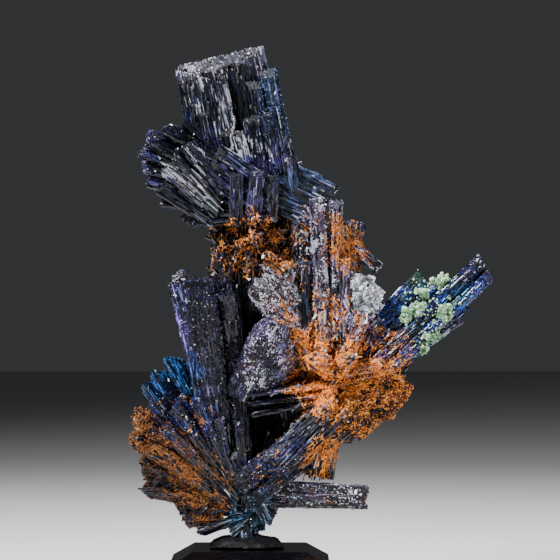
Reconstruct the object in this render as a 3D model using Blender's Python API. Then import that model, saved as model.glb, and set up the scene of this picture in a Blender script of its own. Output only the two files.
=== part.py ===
"""Azurite specimen: a tall cluster of intergrown azurite blades with limonite matrix, malachite tufts
and one pale crystal, held upright by mounting putty on a bevelled display base.

Lengths are millimetres. Each finished mesh is scaled by MM, so the scene itself is in metres.
X is to the right of the specimen's best face, +Y is behind it and +Z is up. The origin is the centre
of the base's underside.
"""

import math
import random
from dataclasses import dataclass, replace

import bmesh
import bpy
from mathutils import Matrix, Vector, noise

MM = 0.001

BASE_WIDTH = 32.0
BASE_HEIGHT = 10.6
BASE_BEVEL_WIDTH = 6.6
BASE_BEVEL_HEIGHT = 2.9
PUTTY_HEIGHT = 2.4
PUTTY_RADII = (7.4, 7.0)
GAP = 0.3  # clearance between two minerals, and between the specimen and what holds it

AZURITE = ((0.012, 0.018, 0.11, 1.0), 0.3)  # base colour, roughness
LIMONITE = ((0.62, 0.22, 0.04, 1.0), 0.9)
MALACHITE = ((0.42, 0.62, 0.42, 1.0), 0.8)
PALE_MINERAL = ((0.6, 0.63, 0.64, 1.0), 0.45)
PUTTY = ((0.02, 0.02, 0.02, 1.0), 0.7)
BLACK_ACRYLIC = ((0.008, 0.008, 0.008, 1.0), 0.12)

FRONT = Vector((0, -1, 0))
UP = Vector((0, 0, 1))


@dataclass(frozen=True)
class Crystal:
    """One blade or prism of azurite, itself a bundle of parallel rods."""

    root: tuple  # centre of the end that is grown in
    tip: tuple  # centre of the free end
    width: float  # across the broad face
    thickness: float
    turn: float = 0.0  # degrees from the front to the broad face, about the long axis
    rods: int = 1  # parallel growths side by side across the width
    sides: int = 6  # 6 gives a sharp-edged blade, 8 a blocky prism
    taper: float = 1.0  # size at the root as a share of the size at the tip
    ragged: float = 0.12  # how much shorter a rod may be, as a share of the length
    end_slope: float = 18.0  # most that a rod's end leans from its own lean, degrees
    end_lean: float = 0.0  # lean of the ends from square, down to the right, degrees


# ---------------------------------------------------------------- crystal forms


def cut_away(form, point, normal):
    """Removes what lies beyond a plane and leaves the cut open."""
    everything = form.verts[:] + form.edges[:] + form.faces[:]
    return bmesh.ops.bisect_plane(form, geom=everything, plane_co=point, plane_no=normal, clear_outer=True)


def cleave(crystal_form, point, normal):
    """Cleaves a convex crystal at a plane, then wraps it in flat faces again."""
    cut_away(crystal_form, point, normal)
    bmesh.ops.remove_doubles(crystal_form, verts=crystal_form.verts, dist=0.06)
    bmesh.ops.delete(crystal_form, geom=crystal_form.edges[:], context="EDGES_FACES")
    hull = bmesh.ops.convex_hull(crystal_form, input=crystal_form.verts)
    spare = {part for part in hull["geom_interior"] + hull["geom_unused"] if isinstance(part, bmesh.types.BMVert)}
    bmesh.ops.delete(crystal_form, geom=list(spare), context="VERTS")
    bmesh.ops.dissolve_limit(
        crystal_form, angle_limit=math.radians(0.5), verts=crystal_form.verts, edges=crystal_form.edges
    )
    bmesh.ops.recalc_face_normals(crystal_form, faces=crystal_form.faces)


def rod_form(length, width, thickness, sides, taper, end_lean, ridge_sides, grow):
    """A prism along +Z from the origin, with its broad faces to ±Y and a chisel end."""
    form = bmesh.new()
    bmesh.ops.create_cone(
        form, cap_ends=True, segments=sides, radius1=0.5 * taper, radius2=0.5, depth=1.0
    )
    first = next(iter(form.verts)).co
    edge_angle = math.atan2(first.y, first.x)
    flat_offset = 0.0 if sides == 6 else math.pi / sides
    square_up = Matrix.Rotation(flat_offset - edge_angle, 3, "Z")
    bmesh.ops.rotate(form, verts=form.verts, cent=(0, 0, 0), matrix=square_up)
    across = math.cos(flat_offset)
    through = math.cos(math.pi / sides)
    size = Vector(((width + 2 * grow) / across, (thickness + 2 * grow) / through, length + 2 * grow))
    bmesh.ops.scale(form, verts=form.verts, vec=size)
    bmesh.ops.translate(form, verts=form.verts, vec=(0, 0, length / 2))

    end = Vector((0, 0, length + grow))
    lean = math.radians(end_lean)
    cleave(form, end - Vector((0, 0, abs(math.tan(lean)) * width / 2)), (math.sin(lean), 0, math.cos(lean)))
    ridge_slope = math.radians(52)
    for side in ridge_sides:
        point = end + Vector((0, side * 0.12 * thickness, 0))
        cleave(form, point, (0, side * math.sin(ridge_slope), math.cos(ridge_slope)))
    return form


def crystal_frame(crystal):
    """Rotation whose Z runs along the crystal and whose -Y is the side that its broad face looks to."""
    along = (Vector(crystal.tip) - Vector(crystal.root)).normalized()
    reference = FRONT if abs(along.dot(FRONT)) < 0.9 else UP
    face = (reference - along * reference.dot(along)).normalized()
    face = Matrix.Rotation(math.radians(crystal.turn), 3, along) @ face
    return Matrix((along.cross(face), -face, along)).transposed()


def rod_forms(crystal, grow):
    """The rods of one crystal, in place. The same crystal always gives the same rods."""
    chance = random.Random(repr((crystal.root, crystal.tip)))
    turned = crystal_frame(crystal)
    length = (Vector(crystal.tip) - Vector(crystal.root)).length
    pitch = crystal.width / crystal.rods
    forms = []
    for number in range(crystal.rods):
        shorter = chance.uniform(0, crystal.ragged) * length if crystal.rods > 1 else 0.0
        form = rod_form(
            length - shorter,
            pitch * (1.3 if crystal.rods > 1 else 1.0),
            crystal.thickness * chance.uniform(0.78, 1.0),
            crystal.sides,
            crystal.taper,
            crystal.end_lean + chance.uniform(-crystal.end_slope, crystal.end_slope),
            (-1, 1) if crystal.rods == 1 and crystal.width > 4 else (-1,),
            grow,
        )
        across = (number - (crystal.rods - 1) / 2) * pitch
        depth = chance.uniform(-0.08, 0.08) * crystal.thickness
        tilt = Matrix.Rotation(math.radians(chance.uniform(-1.5, 1.5)), 3, "Y")
        bmesh.ops.transform(form, matrix=tilt.to_4x4(), verts=form.verts)
        bmesh.ops.translate(form, verts=form.verts, vec=(across, depth, 0))
        place = Matrix.Translation(Vector(crystal.root)) @ turned.to_4x4()
        bmesh.ops.transform(form, matrix=place, verts=form.verts)
        forms.append(form)
    return forms


def fan(roots, tips, count, crystal):
    """Crystals side by side, with roots on a line and tips on a curve through an outer control point."""
    root_from, root_to = (Vector(p) for p in roots)
    tip_from, tip_bulge, tip_to = (Vector(p) for p in tips)
    chance = random.Random(repr(tips))
    made = []
    for number in range(count):
        t = number / (count - 1)
        tip = tip_from * (1 - t) ** 2 + tip_bulge * 2 * t * (1 - t) + tip_to * t**2
        root = root_from.lerp(root_to, t)
        tip = root.lerp(tip, chance.uniform(0.93, 1.04))
        made.append(replace(crystal, root=tuple(root), tip=tuple(tip), turn=crystal.turn + chance.uniform(-9, 9)))
    return made


def thicket(centre, reach, count, crystal, facing, spread):
    """Small crystals that bristle from a centre to within spread degrees of the facing direction."""
    chance = random.Random(repr((centre, facing)))
    middle = Vector(facing).normalized()
    made = []
    while len(made) < count:
        way = Vector([chance.gauss(0, 1) for _ in range(3)]).normalized()
        if math.degrees(way.angle(middle)) > spread:
            continue
        tip = Vector(centre) + way * reach * chance.uniform(0.8, 1.1)
        made.append(
            replace(
                crystal,
                root=centre,
                tip=tuple(tip),
                width=crystal.width * chance.uniform(0.7, 1.3),
                turn=chance.uniform(0, 180),
            )
        )
    return made


# ---------------------------------------------------------------- azurite, group by group


def core():
    """The thick crystals in the middle of the cluster, which everything else grows from."""
    block = Crystal((0, 0, 0), (0, 0, 1), 12, 9, sides=8, end_slope=25)
    return [
        replace(block, root=(-1, 4, 17), tip=(9, 6, 40), width=11, thickness=8),
        replace(block, root=(9, 6, 34), tip=(8, 5, 62), width=12),
        replace(block, root=(-4, 4, 20), tip=(-6.2, 4.5, 61), width=9, thickness=8),
        replace(block, root=(0.5, 7, 30), tip=(0.5, 6, 66), width=9, thickness=6),
        replace(block, root=(15, 4, 32), tip=(18, 3, 58), width=11),
        replace(block, root=(2.5, 4, 58), tip=(1.5, 3, 84), width=13, thickness=10),
        replace(block, root=(-5.5, 2, 60), tip=(-3.5, 1, 78), width=6, thickness=8),
        replace(block, root=(9, 3, 58), tip=(10, 2, 79.5), width=9, thickness=8),
    ]


def crown():
    """The big striated prism on top, leaning left, with a recess in its front face."""
    return [
        Crystal((-0.2, 2.2, 82.9), (-6.4, 2.2, 108.8), 17.2, 6.0, sides=8, end_slope=3),
        Crystal((-6.4, -2.4, 86), (-10.8, -2.6, 106.4), 8.8, 4.4, sides=8, end_slope=1, end_lean=27),
        Crystal((5.6, -1.6, 86), (1.3, -1.6, 106.6), 6.2, 4.4, rods=2, ragged=0.18),
        Crystal((-2.5, -3.2, 88), (-5.6, -2.2, 104.6), 1.5, 1.6),
        Crystal((-0.3, -3.0, 84), (-3.4, -4.0, 99.5), 14.5, 3.2, rods=5, ragged=0.4),
        Crystal((1.5, 5.5, 84), (-2.5, 6.5, 101.0), 12.0, 4.0, turn=180, rods=2, ragged=0.3),
    ]


def left_lobe():
    """The rounded stack of blades to the left, below the crown, seen edge on."""
    blade = Crystal((0, 0, 0), (0, 0, 1), 9.5, 2.7, turn=78, end_slope=22)
    stack = fan(
        [(-3.5, -1, 88), (-4.0, -1, 76.5)],
        [(-13.4, -1, 96.0), (-30.5, -2, 92.0), (-13.0, -2, 75.6)],
        8,
        blade,
    )
    ledges = fan(
        [(-4.4, -4.2, 81.5), (-7.2, -4.4, 75.8)],
        [(-12.4, -6.4, 91.0), (-18.4, -7.4, 89.4), (-17.4, -6.2, 82.8)],
        4,
        replace(blade, width=4.6, thickness=1.9, turn=52),
    )
    return stack + ledges


def collar():
    """Blades that ring the foot of the crown, the largest pointing down to the right."""
    return [
        Crystal((-2.0, -1.2, 86.4), (15.6, -2.0, 78.2), 10.0, 6.2, turn=-12, sides=8),
        Crystal((2.5, 0, 87.6), (14.4, 0, 82.4), 4.4, 4.0, turn=30),
        Crystal((4.0, -4.0, 79.5), (-8.6, -5.2, 88.2), 7.0, 4.0, turn=-15, sides=8, rods=3),
        Crystal((-2.8, -5.0, 75.0), (-2.4, -7.6, 85.0), 2.4, 2.4, sides=8, end_slope=6),
        Crystal((0.6, -4.5, 75.0), (1.4, -7.0, 85.4), 3.0, 2.4, sides=8, end_slope=10),
        Crystal((4.2, -4.0, 76.0), (4.6, -6.5, 84.6), 2.4, 2.2),
        Crystal((9.5, -2.0, 78.0), (7.5, -4.6, 89.0), 3.2, 3.0, turn=35),
        Crystal((3.0, 3.0, 82.0), (11.5, 5.5, 85.4), 6.0, 3.6, turn=160),
    ]


def neck():
    """The rough waist, where many short crystals cross."""
    short = Crystal((0, 0, 0), (0, 0, 1), 2.6, 1.8)
    return (
        thicket((1.5, 0, 73), 8.0, 4, short, (-0.2, -1, 0.15), 70)
        + thicket((5.0, 0, 66), 8.5, 4, short, (0.2, -1, -0.1), 65)
        + [
            Crystal((-4.4, -1, 61), (-6.4, -2, 73.5), 3.2, 4.0),
            Crystal((7.6, -3, 66), (3.2, -7.2, 69.2), 1.8, 1.4),
            Crystal((7.4, -3, 63.6), (2.8, -7.0, 66.8), 1.8, 1.4),
        ]
    )


def right_shoulder():
    """Upright blades between the spray and the collar, and the small finger beside them."""
    upright = Crystal((0, 0, 0), (0, 0, 1), 2.8, 3.4, sides=8, end_slope=12)
    return [
        replace(upright, root=(14.6, -4.6, 50), tip=(13.6, -5.4, 80.2)),
        replace(upright, root=(17.0, -4.2, 52), tip=(16.6, -4.4, 79.8), width=2.4),
        replace(upright, root=(11.4, -3.6, 50), tip=(11.2, -4.6, 67.8), width=2.6),
        replace(upright, root=(18.8, -3.8, 51), tip=(18.8, -5.0, 68.0), width=2.6),
        replace(upright, root=(16, 0.5, 56), tip=(16.8, 1, 77.4), width=7.2, thickness=8, rods=2),
        replace(upright, root=(18.5, 0.5, 58), tip=(19.8, 0.5, 72.4), width=5.2, thickness=7),
        Crystal((16.4, 0, 73.8), (25.6, -1.4, 66.2), 2.4, 3.2, end_slope=5),
        Crystal((15.5, 3, 62), (21.5, 9, 76), 6.0, 3.4, turn=140),
    ]


def spray():
    """Blades radiating from the middle of the specimen's right side, up, left, down and forwards."""
    heart = (16.4, 0, 43)
    dark_plate = Crystal((0, 0, 0), (0, 0, 1), 8.0, 1.0, turn=86)
    up_blade = Crystal(heart, heart, 4.6, 3.2)
    return [
        Crystal((14.4, -2.0, 48.5), (2.6, -6.2, 65.0), 7.4, 3.6, turn=18, sides=8, rods=2, ragged=0.05),
        Crystal((7.4, 4, 48.0), (0.8, -9.0, 47.6), 17.4, 11.0, turn=-34, sides=8, end_slope=8),
        Crystal((17, -3, 39.2), (3.2, -6.4, 25.2), 6.0, 4.4, turn=-25, rods=2),
        Crystal((17.5, -1, 36), (-2.4, -5.2, 21.2), 7.4, 5.0, turn=-12, rods=2),
        Crystal((16.0, 0.3, 40), (14.1, 0.5, 24.4), 6.0, 5.4),
        Crystal((15, -2, 34), (12.6, -3, 25.0), 3.6, 4.0, sides=8),
        replace(up_blade, root=(17, -2, 45), tip=(25.6, -2.4, 56.8)),
        replace(up_blade, root=(17, -3, 45), tip=(22.2, -4.6, 58.0)),
        replace(up_blade, root=(17, -1, 45), tip=(28.2, -1.4, 54.4)),
        *fan([(16, -0.5, 43.4), (15.5, -0.5, 40.4)], [(-1.5, -4, 41.6), (-2, -4.5, 40), (0, -4, 37.4)], 3, dark_plate),
        *thicket((16.8, -1.5, 44.5), 11.0, 5, replace(up_blade, width=3.4, thickness=2.6), (0.1, -1, 0.1), 62),
    ]


def right_mass():
    """Stubby crystals right of the spray's heart, most of them under limonite."""
    stub = Crystal((17, 0, 42.5), (0, 0, 1), 6.4, 6.0)
    return [
        replace(stub, tip=(31.6, 0, 43.8)),
        replace(stub, tip=(29.6, 1, 39.4)),
        replace(stub, tip=(24.6, -0.5, 34.2)),
        replace(stub, tip=(20.6, -1, 32.2), width=5.0),
        replace(stub, tip=(26.5, -4.5, 43.0), width=5.0, thickness=4.0),
        replace(stub, tip=(28.0, 6.5, 42.0), width=6.0, thickness=4.0),
    ]


def right_arm():
    """The vivid blades that reach up to the right, with malachite on them."""
    return [
        Crystal((20, 0.5, 45.5), (38.6, -0.5, 63.6), 9.0, 3.0, turn=8, rods=3, ragged=0.08),
        Crystal((25, -1.8, 45.7), (47.9, -2.2, 66.9), 4.6, 3.2, rods=2, ragged=0.05, end_slope=25),
        Crystal((25.5, 0.8, 44.2), (42.8, 0.8, 59.6), 4.6, 3.0),
        Crystal((31, -1.4, 48.4), (42.0, -1.6, 56.2), 1.4, 1.8, end_slope=5),
        Crystal((31.5, -1.2, 47.0), (42.4, -1.2, 54.4), 1.4, 1.8, end_slope=5),
    ]


def left_blade():
    """The long slab on the left, widest at its square top, and the narrow crystals inside it."""
    return [
        Crystal((-3.2, -2.6, 19), (-11.2, -6.0, 64.2), 9.6, 5.2, turn=26, sides=8, taper=0.5, end_slope=4),
        Crystal((-4.6, -3.6, 30), (-9.2, -8.0, 60.5), 5.6, 3.0, turn=26, taper=0.6),
        Crystal((-2.0, -1, 24), (-4.6, -2.4, 62.6), 5.6, 4.0, turn=20),
        Crystal((-3.6, -3.4, 52), (-4.4, -6.4, 61.2), 3.4, 3.0, sides=8),
        Crystal((-11.6, -4.4, 58), (-14.2, -6.4, 65.6), 2.6, 2.4),
        Crystal((-3.4, -4, 18), (-5.8, -7.0, 36.6), 2.0, 2.0),
        Crystal((-0.4, -3, 18), (-2.8, -5.0, 36.2), 2.0, 2.0),
        Crystal((3.4, -2.5, 16), (-3.6, -5.0, 29.6), 2.6, 2.4),
    ]


def left_fans():
    """Sheaves of thin blades that spread to the lower left."""
    leaf = Crystal((0, 0, 0), (0, 0, 1), 7.5, 3.3, turn=80, end_slope=30)
    return (
        fan([(-4, 1, 27), (-6, 1, 24)], [(-11.2, 3, 49.0), (-21.5, 3, 48.5), (-20.6, 2, 38.8)], 5, leaf)
        + fan([(-2.4, 0, 22), (-2.8, 0, 20)], [(-15, -2, 41.5), (-29.5, -2, 40.0), (-22.4, -2, 28.0)], 5, leaf)
        + fan(
            [(-2, -4, 22), (-3, -4, 19.5)],
            [(-11.0, -7, 41.5), (-19.5, -7, 40.5), (-19.0, -6, 30.5)],
            4,
            replace(leaf, width=4.0, thickness=2.8),
        )
        + fan([(-1.6, 0, 20), (-1.6, 0, 18.4)], [(-22.6, -1, 27.6), (-22.6, -1, 21.5), (-15.2, -1, 20.4)], 3, leaf)
        + fan([(-0.6, 0, 19), (-0.6, 0, 17)], [(-15.2, 0, 20.4), (-16.0, 0, 13.6), (-4.4, 0, 13.8)], 4, leaf)
    )


def foot():
    """Small blades pointing down into the putty, and the striated one that lies out to the right."""
    return [
        Crystal((-2.2, -1.5, 24), (-0.6, -2.6, 11.8), 2.4, 2.2, sides=8),
        Crystal((-0.4, -1.0, 26), (1.8, -2.2, 12.4), 3.2, 2.8, rods=2),
        Crystal((0.5, 0.5, 26), (4.0, 1.0, 16.6), 3.4, 2.4, turn=-20),
        Crystal((-0.5, 3, 24), (-0.8, 3.4, 12.2), 4.4, 4.0, sides=8),
        Crystal((1.5, -1.5, 21.4), (23.4, -4.6, 20.8), 5.0, 4.4, rods=3, ragged=0.1, end_slope=34),
    ]


def back():
    """The side away from the best face: blades that radiate backwards from the core."""
    blade = Crystal((0, 0, 0), (0, 0, 1), 6.5, 3.4)
    return (
        thicket((-2, 5, 30), 14.0, 4, blade, (-0.4, 1, 0.1), 62)
        + thicket((12, 4, 44), 14.0, 5, blade, (0.3, 1, 0.1), 65)
        + thicket((4, 4, 68), 10.0, 3, replace(blade, width=4.5), (0, 1, 0), 65)
        + thicket((0, 4, 84), 11.0, 3, replace(blade, width=5.0), (-0.2, 1, 0), 60)
    )


def azurite_crystals():
    return (
        core()
        + crown()
        + left_lobe()
        + collar()
        + neck()
        + right_shoulder()
        + spray()
        + right_mass()
        + right_arm()
        + left_blade()
        + left_fans()
        + foot()
        + back()
    )


# ---------------------------------------------------------------- lumps, tufts and the holder


def lump_form(centre, radii, seed, roughness=0.25, detail=2):
    """An earthy lump: a sphere pushed in and out by noise, then squashed to its radii."""
    form = bmesh.new()
    bmesh.ops.create_icosphere(form, subdivisions=detail, radius=1.0)
    for vert in form.verts:
        push = noise.fractal(vert.co * 1.6 + Vector((seed, 0, 0)), 1.0, 2.0, 3)
        vert.co *= 1.0 + roughness * push
    bmesh.ops.scale(form, verts=form.verts, vec=radii)
    bmesh.ops.translate(form, verts=form.verts, vec=centre)
    return form


# ---------------------------------------------------------------- objects


def material(name, look):
    colour, roughness = look
    made = bpy.data.materials.new(name)
    made.use_nodes = True
    shader = made.node_tree.nodes["Principled BSDF"]
    shader.inputs["Base Color"].default_value = colour
    shader.inputs["Roughness"].default_value = roughness
    made.diffuse_color = colour
    return made


def add_object(name, form, collection):
    """Puts a form into the scene, in metres."""
    bmesh.ops.scale(form, verts=form.verts, vec=(MM, MM, MM))
    mesh = bpy.data.meshes.new(name)
    form.to_mesh(mesh)
    form.free()
    made = bpy.data.objects.new(name, mesh)
    collection.objects.link(made)
    return made


def new_collection(name, hidden=False):
    made = bpy.data.collections.new(name)
    bpy.context.scene.collection.children.link(made)
    made.hide_render = hidden
    return made


def hide(helper):
    helper.hide_render = True
    helper.display_type = "WIRE"


def apply_modifiers(made):
    """Gives the object its evaluated mesh, so that it can be cut or copied."""
    graph = bpy.context.evaluated_depsgraph_get()
    mesh = bpy.data.meshes.new_from_object(made.evaluated_get(graph))
    made.modifiers.clear()
    made.data = mesh


def fuse(name, forms, collection):
    """Joins overlapping forms into one solid by a Boolean union."""
    growths = new_collection(name + "_forms", hidden=True)
    for number, form in enumerate(forms[1:]):
        hide(add_object(f"{name}_form_{number}", form, growths))
    made = add_object(name, forms[0], collection)
    if len(forms) > 1:
        union = made.modifiers.new("union", "BOOLEAN")
        union.operation = "UNION"
        union.operand_type = "COLLECTION"
        union.collection = growths
        apply_modifiers(made)
        keep_largest_piece(made)  # leaves out the closed pockets between crystals
    return made


def cut(made, cutter):
    """Cuts one solid by another and keeps the largest piece."""
    difference = made.modifiers.new("cut", "BOOLEAN")
    difference.operation = "DIFFERENCE"
    difference.object = cutter
    apply_modifiers(made)
    keep_largest_piece(made)


def keep_largest_piece(made):
    form = bmesh.new()
    form.from_mesh(made.data)
    unseen = set(form.verts)
    pieces = []
    while unseen:
        piece, edge_of = set(), [unseen.pop()]
        while edge_of:
            vert = edge_of.pop()
            piece.add(vert)
            fresh = {e.other_vert(vert) for e in vert.link_edges} & unseen
            unseen -= fresh
            edge_of.extend(fresh)
        pieces.append(piece)
    largest = max(pieces, key=len)
    bmesh.ops.delete(form, geom=[v for v in form.verts if v not in largest], context="VERTS")
    form.to_mesh(made.data)
    form.free()


def build_azurite(collection, helpers):
    """The cluster itself, and a copy of it grown by the gap, to cut its neighbours with."""
    crystals = azurite_crystals()
    cluster_forms = [form for crystal in crystals for form in rod_forms(crystal, 0.0)]
    cluster = fuse("azurite_cluster", cluster_forms, collection)
    grown_forms = [form for crystal in crystals for form in rod_forms(crystal, GAP)]
    cutter = fuse("azurite_grown_by_gap", grown_forms, helpers)
    hide(cutter)
    cluster.data.materials.append(material("azurite", AZURITE))
    return cutter


def build_limonite(collection, cutter):
    """Rusty matrix: one mass under the lower left fans, one on the right of the spray."""
    look = material("limonite", LIMONITE)
    masses = {
        "limonite_matrix_left": [
            lump_form((-16.5, 1.5, 30.5), (5.6, 5.4, 5.2), 1.0),
            lump_form((-13.5, 0.5, 25.0), (7.6, 5.6, 4.4), 2.0),
            lump_form((-9.0, 0.5, 19.4), (6.4, 5.4, 4.8), 3.0),
        ],
        "limonite_crust_right": [
            lump_form((25.4, 0.5, 41.4), (6.0, 6.0, 4.8), 4.0),
            lump_form((20.6, 0.5, 37.2), (4.6, 5.6, 5.0), 5.0),
        ],
    }
    for name, forms in masses.items():
        made = fuse(name, forms, collection)
        cut(made, cutter)
        made.data.materials.append(look)


def build_malachite(collection, cutter):
    """Pale green tufts on the right arm."""
    look = material("malachite", MALACHITE)
    tufts = [
        [((32.0, -2.6, 57.2), (1.9, 1.6, 1.6)), ((34.2, -2.8, 58.2), (1.4, 1.4, 1.5))],
        [((38.3, -2.0, 63.8), (1.7, 1.4, 1.2))],
        [((34.3, -2.3, 61.4), (1.0, 1.1, 1.0))],
        [((38.8, -4.0, 57.6), (1.4, 1.4, 1.6))],
        [((35.8, -2.8, 52.7), (1.8, 1.4, 1.4))],
        [((34.4, -1.8, 50.0), (1.1, 1.2, 1.0))],
    ]
    for number, lumps in enumerate(tufts, start=1):
        forms = [lump_form(centre, radii, number) for centre, radii in lumps]
        made = fuse(f"malachite_tuft_{number}", forms, collection)
        cut(made, cutter)
        made.data.materials.append(look)


def build_pale_crystal(collection, cutter):
    """The pale grey crystal group at the right shoulder."""
    group = [
        Crystal((22.6, -2.4, 56.5), (21.4, -4.0, 66.0), 5.6, 5.0, sides=8, end_slope=24),
        Crystal((22.6, -2.4, 57.0), (25.2, -4.2, 63.2), 3.8, 4.2, turn=30, sides=8),
        Crystal((22.6, -2.6, 58.0), (25.6, -3.6, 60.0), 3.0, 3.2, turn=60, sides=8),
        Crystal((22.6, -3.0, 59.0), (22.8, -6.4, 62.0), 4.0, 3.6, sides=8),
    ]
    forms = [form for crystal in group for form in rod_forms(crystal, 0.0)]
    made = fuse("pale_crystal", forms, collection)
    cut(made, cutter)
    made.data.materials.append(material("pale_mineral", PALE_MINERAL))


def build_putty(collection, cutter):
    """The mound of mounting putty, flat underneath, with the sockets that the crystal tips press."""
    floor = BASE_HEIGHT + GAP
    form = lump_form((-0.6, 0, floor), (*PUTTY_RADII, PUTTY_HEIGHT), 7.0, roughness=0.12, detail=3)
    sliced = cut_away(form, (0, 0, floor), (0, 0, -1))
    rim = [part for part in sliced["geom_cut"] if isinstance(part, bmesh.types.BMEdge)]
    bmesh.ops.contextual_create(form, geom=rim)
    made = add_object("mounting_putty", form, collection)
    cut(made, cutter)
    made.data.materials.append(material("putty", PUTTY))


def build_base(collection):
    side_height = BASE_HEIGHT - BASE_BEVEL_HEIGHT
    form = bmesh.new()
    bmesh.ops.create_cube(form, size=1.0)
    bmesh.ops.scale(form, verts=form.verts, vec=(BASE_WIDTH, BASE_WIDTH, side_height))
    bmesh.ops.translate(form, verts=form.verts, vec=(0, 0, side_height / 2))
    form.normal_update()
    top = [face for face in form.faces if face.normal.z > 0.9]
    bmesh.ops.inset_individual(form, faces=top, thickness=BASE_BEVEL_WIDTH, depth=BASE_BEVEL_HEIGHT)
    made = add_object("display_base", form, collection)
    made.data.materials.append(material("black_acrylic", BLACK_ACRYLIC))


def main():
    for old in list(bpy.data.objects):
        bpy.data.objects.remove(old)
    specimen = new_collection("azurite_specimen")
    helpers = new_collection("cutters", hidden=True)
    cutter = build_azurite(specimen, helpers)
    build_limonite(specimen, cutter)
    build_malachite(specimen, cutter)
    build_pale_crystal(specimen, cutter)
    build_putty(specimen, cutter)
    build_base(specimen)


main()
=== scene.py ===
# %% [markdown]
# # Azurite specimen on a display base
#
# Azurite grows as dark blue, striated blades. On this specimen they radiate from a core, with rusty
# limonite, green malachite and one pale crystal between them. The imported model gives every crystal
# its place and size, as plain flat-sided prisms. This lesson grows the fine surface on them.
#
# Each step reads a CAD node, works out how its surface lies, and lets Geometry Nodes repeat small
# forms over it. The CAD nodes themselves are never moved: the new pieces stand in for them.

import math
import random
from dataclasses import dataclass

import bmesh
import bpy
import numpy as np
from mathutils import Matrix, Vector, noise
from mathutils.bvhtree import BVHTree


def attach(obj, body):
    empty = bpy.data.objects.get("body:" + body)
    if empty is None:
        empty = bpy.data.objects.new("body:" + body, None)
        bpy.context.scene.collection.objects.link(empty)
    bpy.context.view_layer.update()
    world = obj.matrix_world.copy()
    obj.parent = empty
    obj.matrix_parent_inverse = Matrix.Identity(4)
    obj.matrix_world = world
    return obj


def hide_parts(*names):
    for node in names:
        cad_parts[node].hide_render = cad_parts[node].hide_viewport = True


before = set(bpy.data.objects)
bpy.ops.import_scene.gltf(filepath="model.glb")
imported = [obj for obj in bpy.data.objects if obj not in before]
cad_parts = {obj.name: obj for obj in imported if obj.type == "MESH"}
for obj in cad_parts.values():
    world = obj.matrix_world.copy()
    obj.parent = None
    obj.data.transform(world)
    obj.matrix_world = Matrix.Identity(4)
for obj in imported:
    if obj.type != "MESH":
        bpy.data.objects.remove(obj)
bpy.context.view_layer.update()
noise.seed_set(3)  # without a seed, noise vectors follow the clock

MM = 0.001

print(f"{len(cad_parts)} CAD nodes")

# %% [markdown]
# ## Step 1: find the crystals in the cluster
#
# On the real piece every crystal has its own direction, and all its fine lines follow it. The script
# could list those directions by hand, but it would have to be changed with every crystal. It reads
# them from the mesh instead. The cluster is a union of convex prisms. Where two prisms meet, the
# edge between them is a valley, and along one prism every edge is a ridge. So faces joined by ridges
# belong to one crystal, and the direction that most of its ridges share is the way it grew.

# %% A joined copy of the cluster
JOINED_WITHIN = 0.004 * MM
FLAT_WITHIN = math.radians(0.4)


def merged_copy(node_name):
    """The node's mesh with its loose triangles joined again, and flat faces whole."""
    form = bmesh.new()
    form.from_mesh(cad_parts[node_name].data)
    bmesh.ops.remove_doubles(form, verts=form.verts, dist=JOINED_WITHIN)
    bmesh.ops.dissolve_limit(form, angle_limit=FLAT_WITHIN, verts=form.verts, edges=form.edges)
    return form


cluster_form = merged_copy("azurite_cluster")
print(f"{len(cluster_form.faces)} flat faces on the cluster")


# %% Crystals, and the way each one grew
SAME_WAY = 0.995  # cosine of the widest angle between two ridges that run the same way


def crystals_of(form):
    """Lists of faces that ridges join."""
    seen = set()
    crystals = []
    for first in form.faces:
        if first in seen:
            continue
        seen.add(first)
        crystal = [first]
        for face in crystal:
            ridges = [edge for edge in face.edges if edge.calc_face_angle_signed(0.0) > 0.0]
            for neighbour in (other for edge in ridges for other in edge.link_faces):
                if neighbour not in seen:
                    seen.add(neighbour)
                    crystal.append(neighbour)
        crystals.append(crystal)
    return crystals


def growth_axis(crystal):
    """The direction along which the crystal has the greatest length of ridge."""
    edges = dict.fromkeys(edge for face in crystal for edge in face.edges)
    ridges = [edge for edge in edges if edge.calc_face_angle_signed(0.0) > 0.0]
    ways = [edge.verts[1].co - edge.verts[0].co for edge in ridges or edges]
    best, best_length = ways[0], 0.0
    for way in ways:
        unit = way.normalized()
        alike = [other for other in ways if abs(other.normalized().dot(unit)) > SAME_WAY]
        shared = sum(abs(other.dot(unit)) for other in alike)
        if shared > best_length:
            best, best_length = unit, shared
    return best.normalized()


print(f"{len(crystals_of(cluster_form))} crystal surfaces")

# %% Marks for the growth to follow
END_FACING = 0.8  # how nearly an end face's normal lies along the growth axis
LEAST_ALONG = 0.3  # shorter than this, the axis within a face is too vague to follow
UV_SHIFT = 40  # millimetres at most, so that no two crystals show the same streaks


def mark_growth(form):
    """Stores on each face its growth axis, its crystal's own tone and whether it is an end face.

    It also gives each crystal UVs that run along its growth.
    """
    axis_layer = form.faces.layers.float_vector.new("growth_axis")
    end_layer = form.faces.layers.float.new("end_share")
    tone_layer = form.faces.layers.float.new("crystal_tone")
    uv_layer = form.loops.layers.uv.new("along_growth")
    chance = random.Random(3)
    for crystal in crystals_of(form):
        axis = growth_axis(crystal)
        tone = chance.random()
        shift = chance.uniform(0, UV_SHIFT)
        for face in crystal:
            along = axis - face.normal * axis.dot(face.normal)
            if along.length <= LEAST_ALONG:
                along = face.normal.orthogonal()
            along = along.normalized()
            across = face.normal.cross(along)
            face[axis_layer] = axis
            face[tone_layer] = tone
            face[end_layer] = float(abs(axis.dot(face.normal)) > END_FACING)
            for loop in face.loops:
                place = loop.vert.co
                loop[uv_layer].uv = (place.dot(across) / MM + shift, place.dot(along) / MM)


mark_growth(cluster_form)
print(f"{len(cluster_form.faces)} faces know which way they grew")

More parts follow.
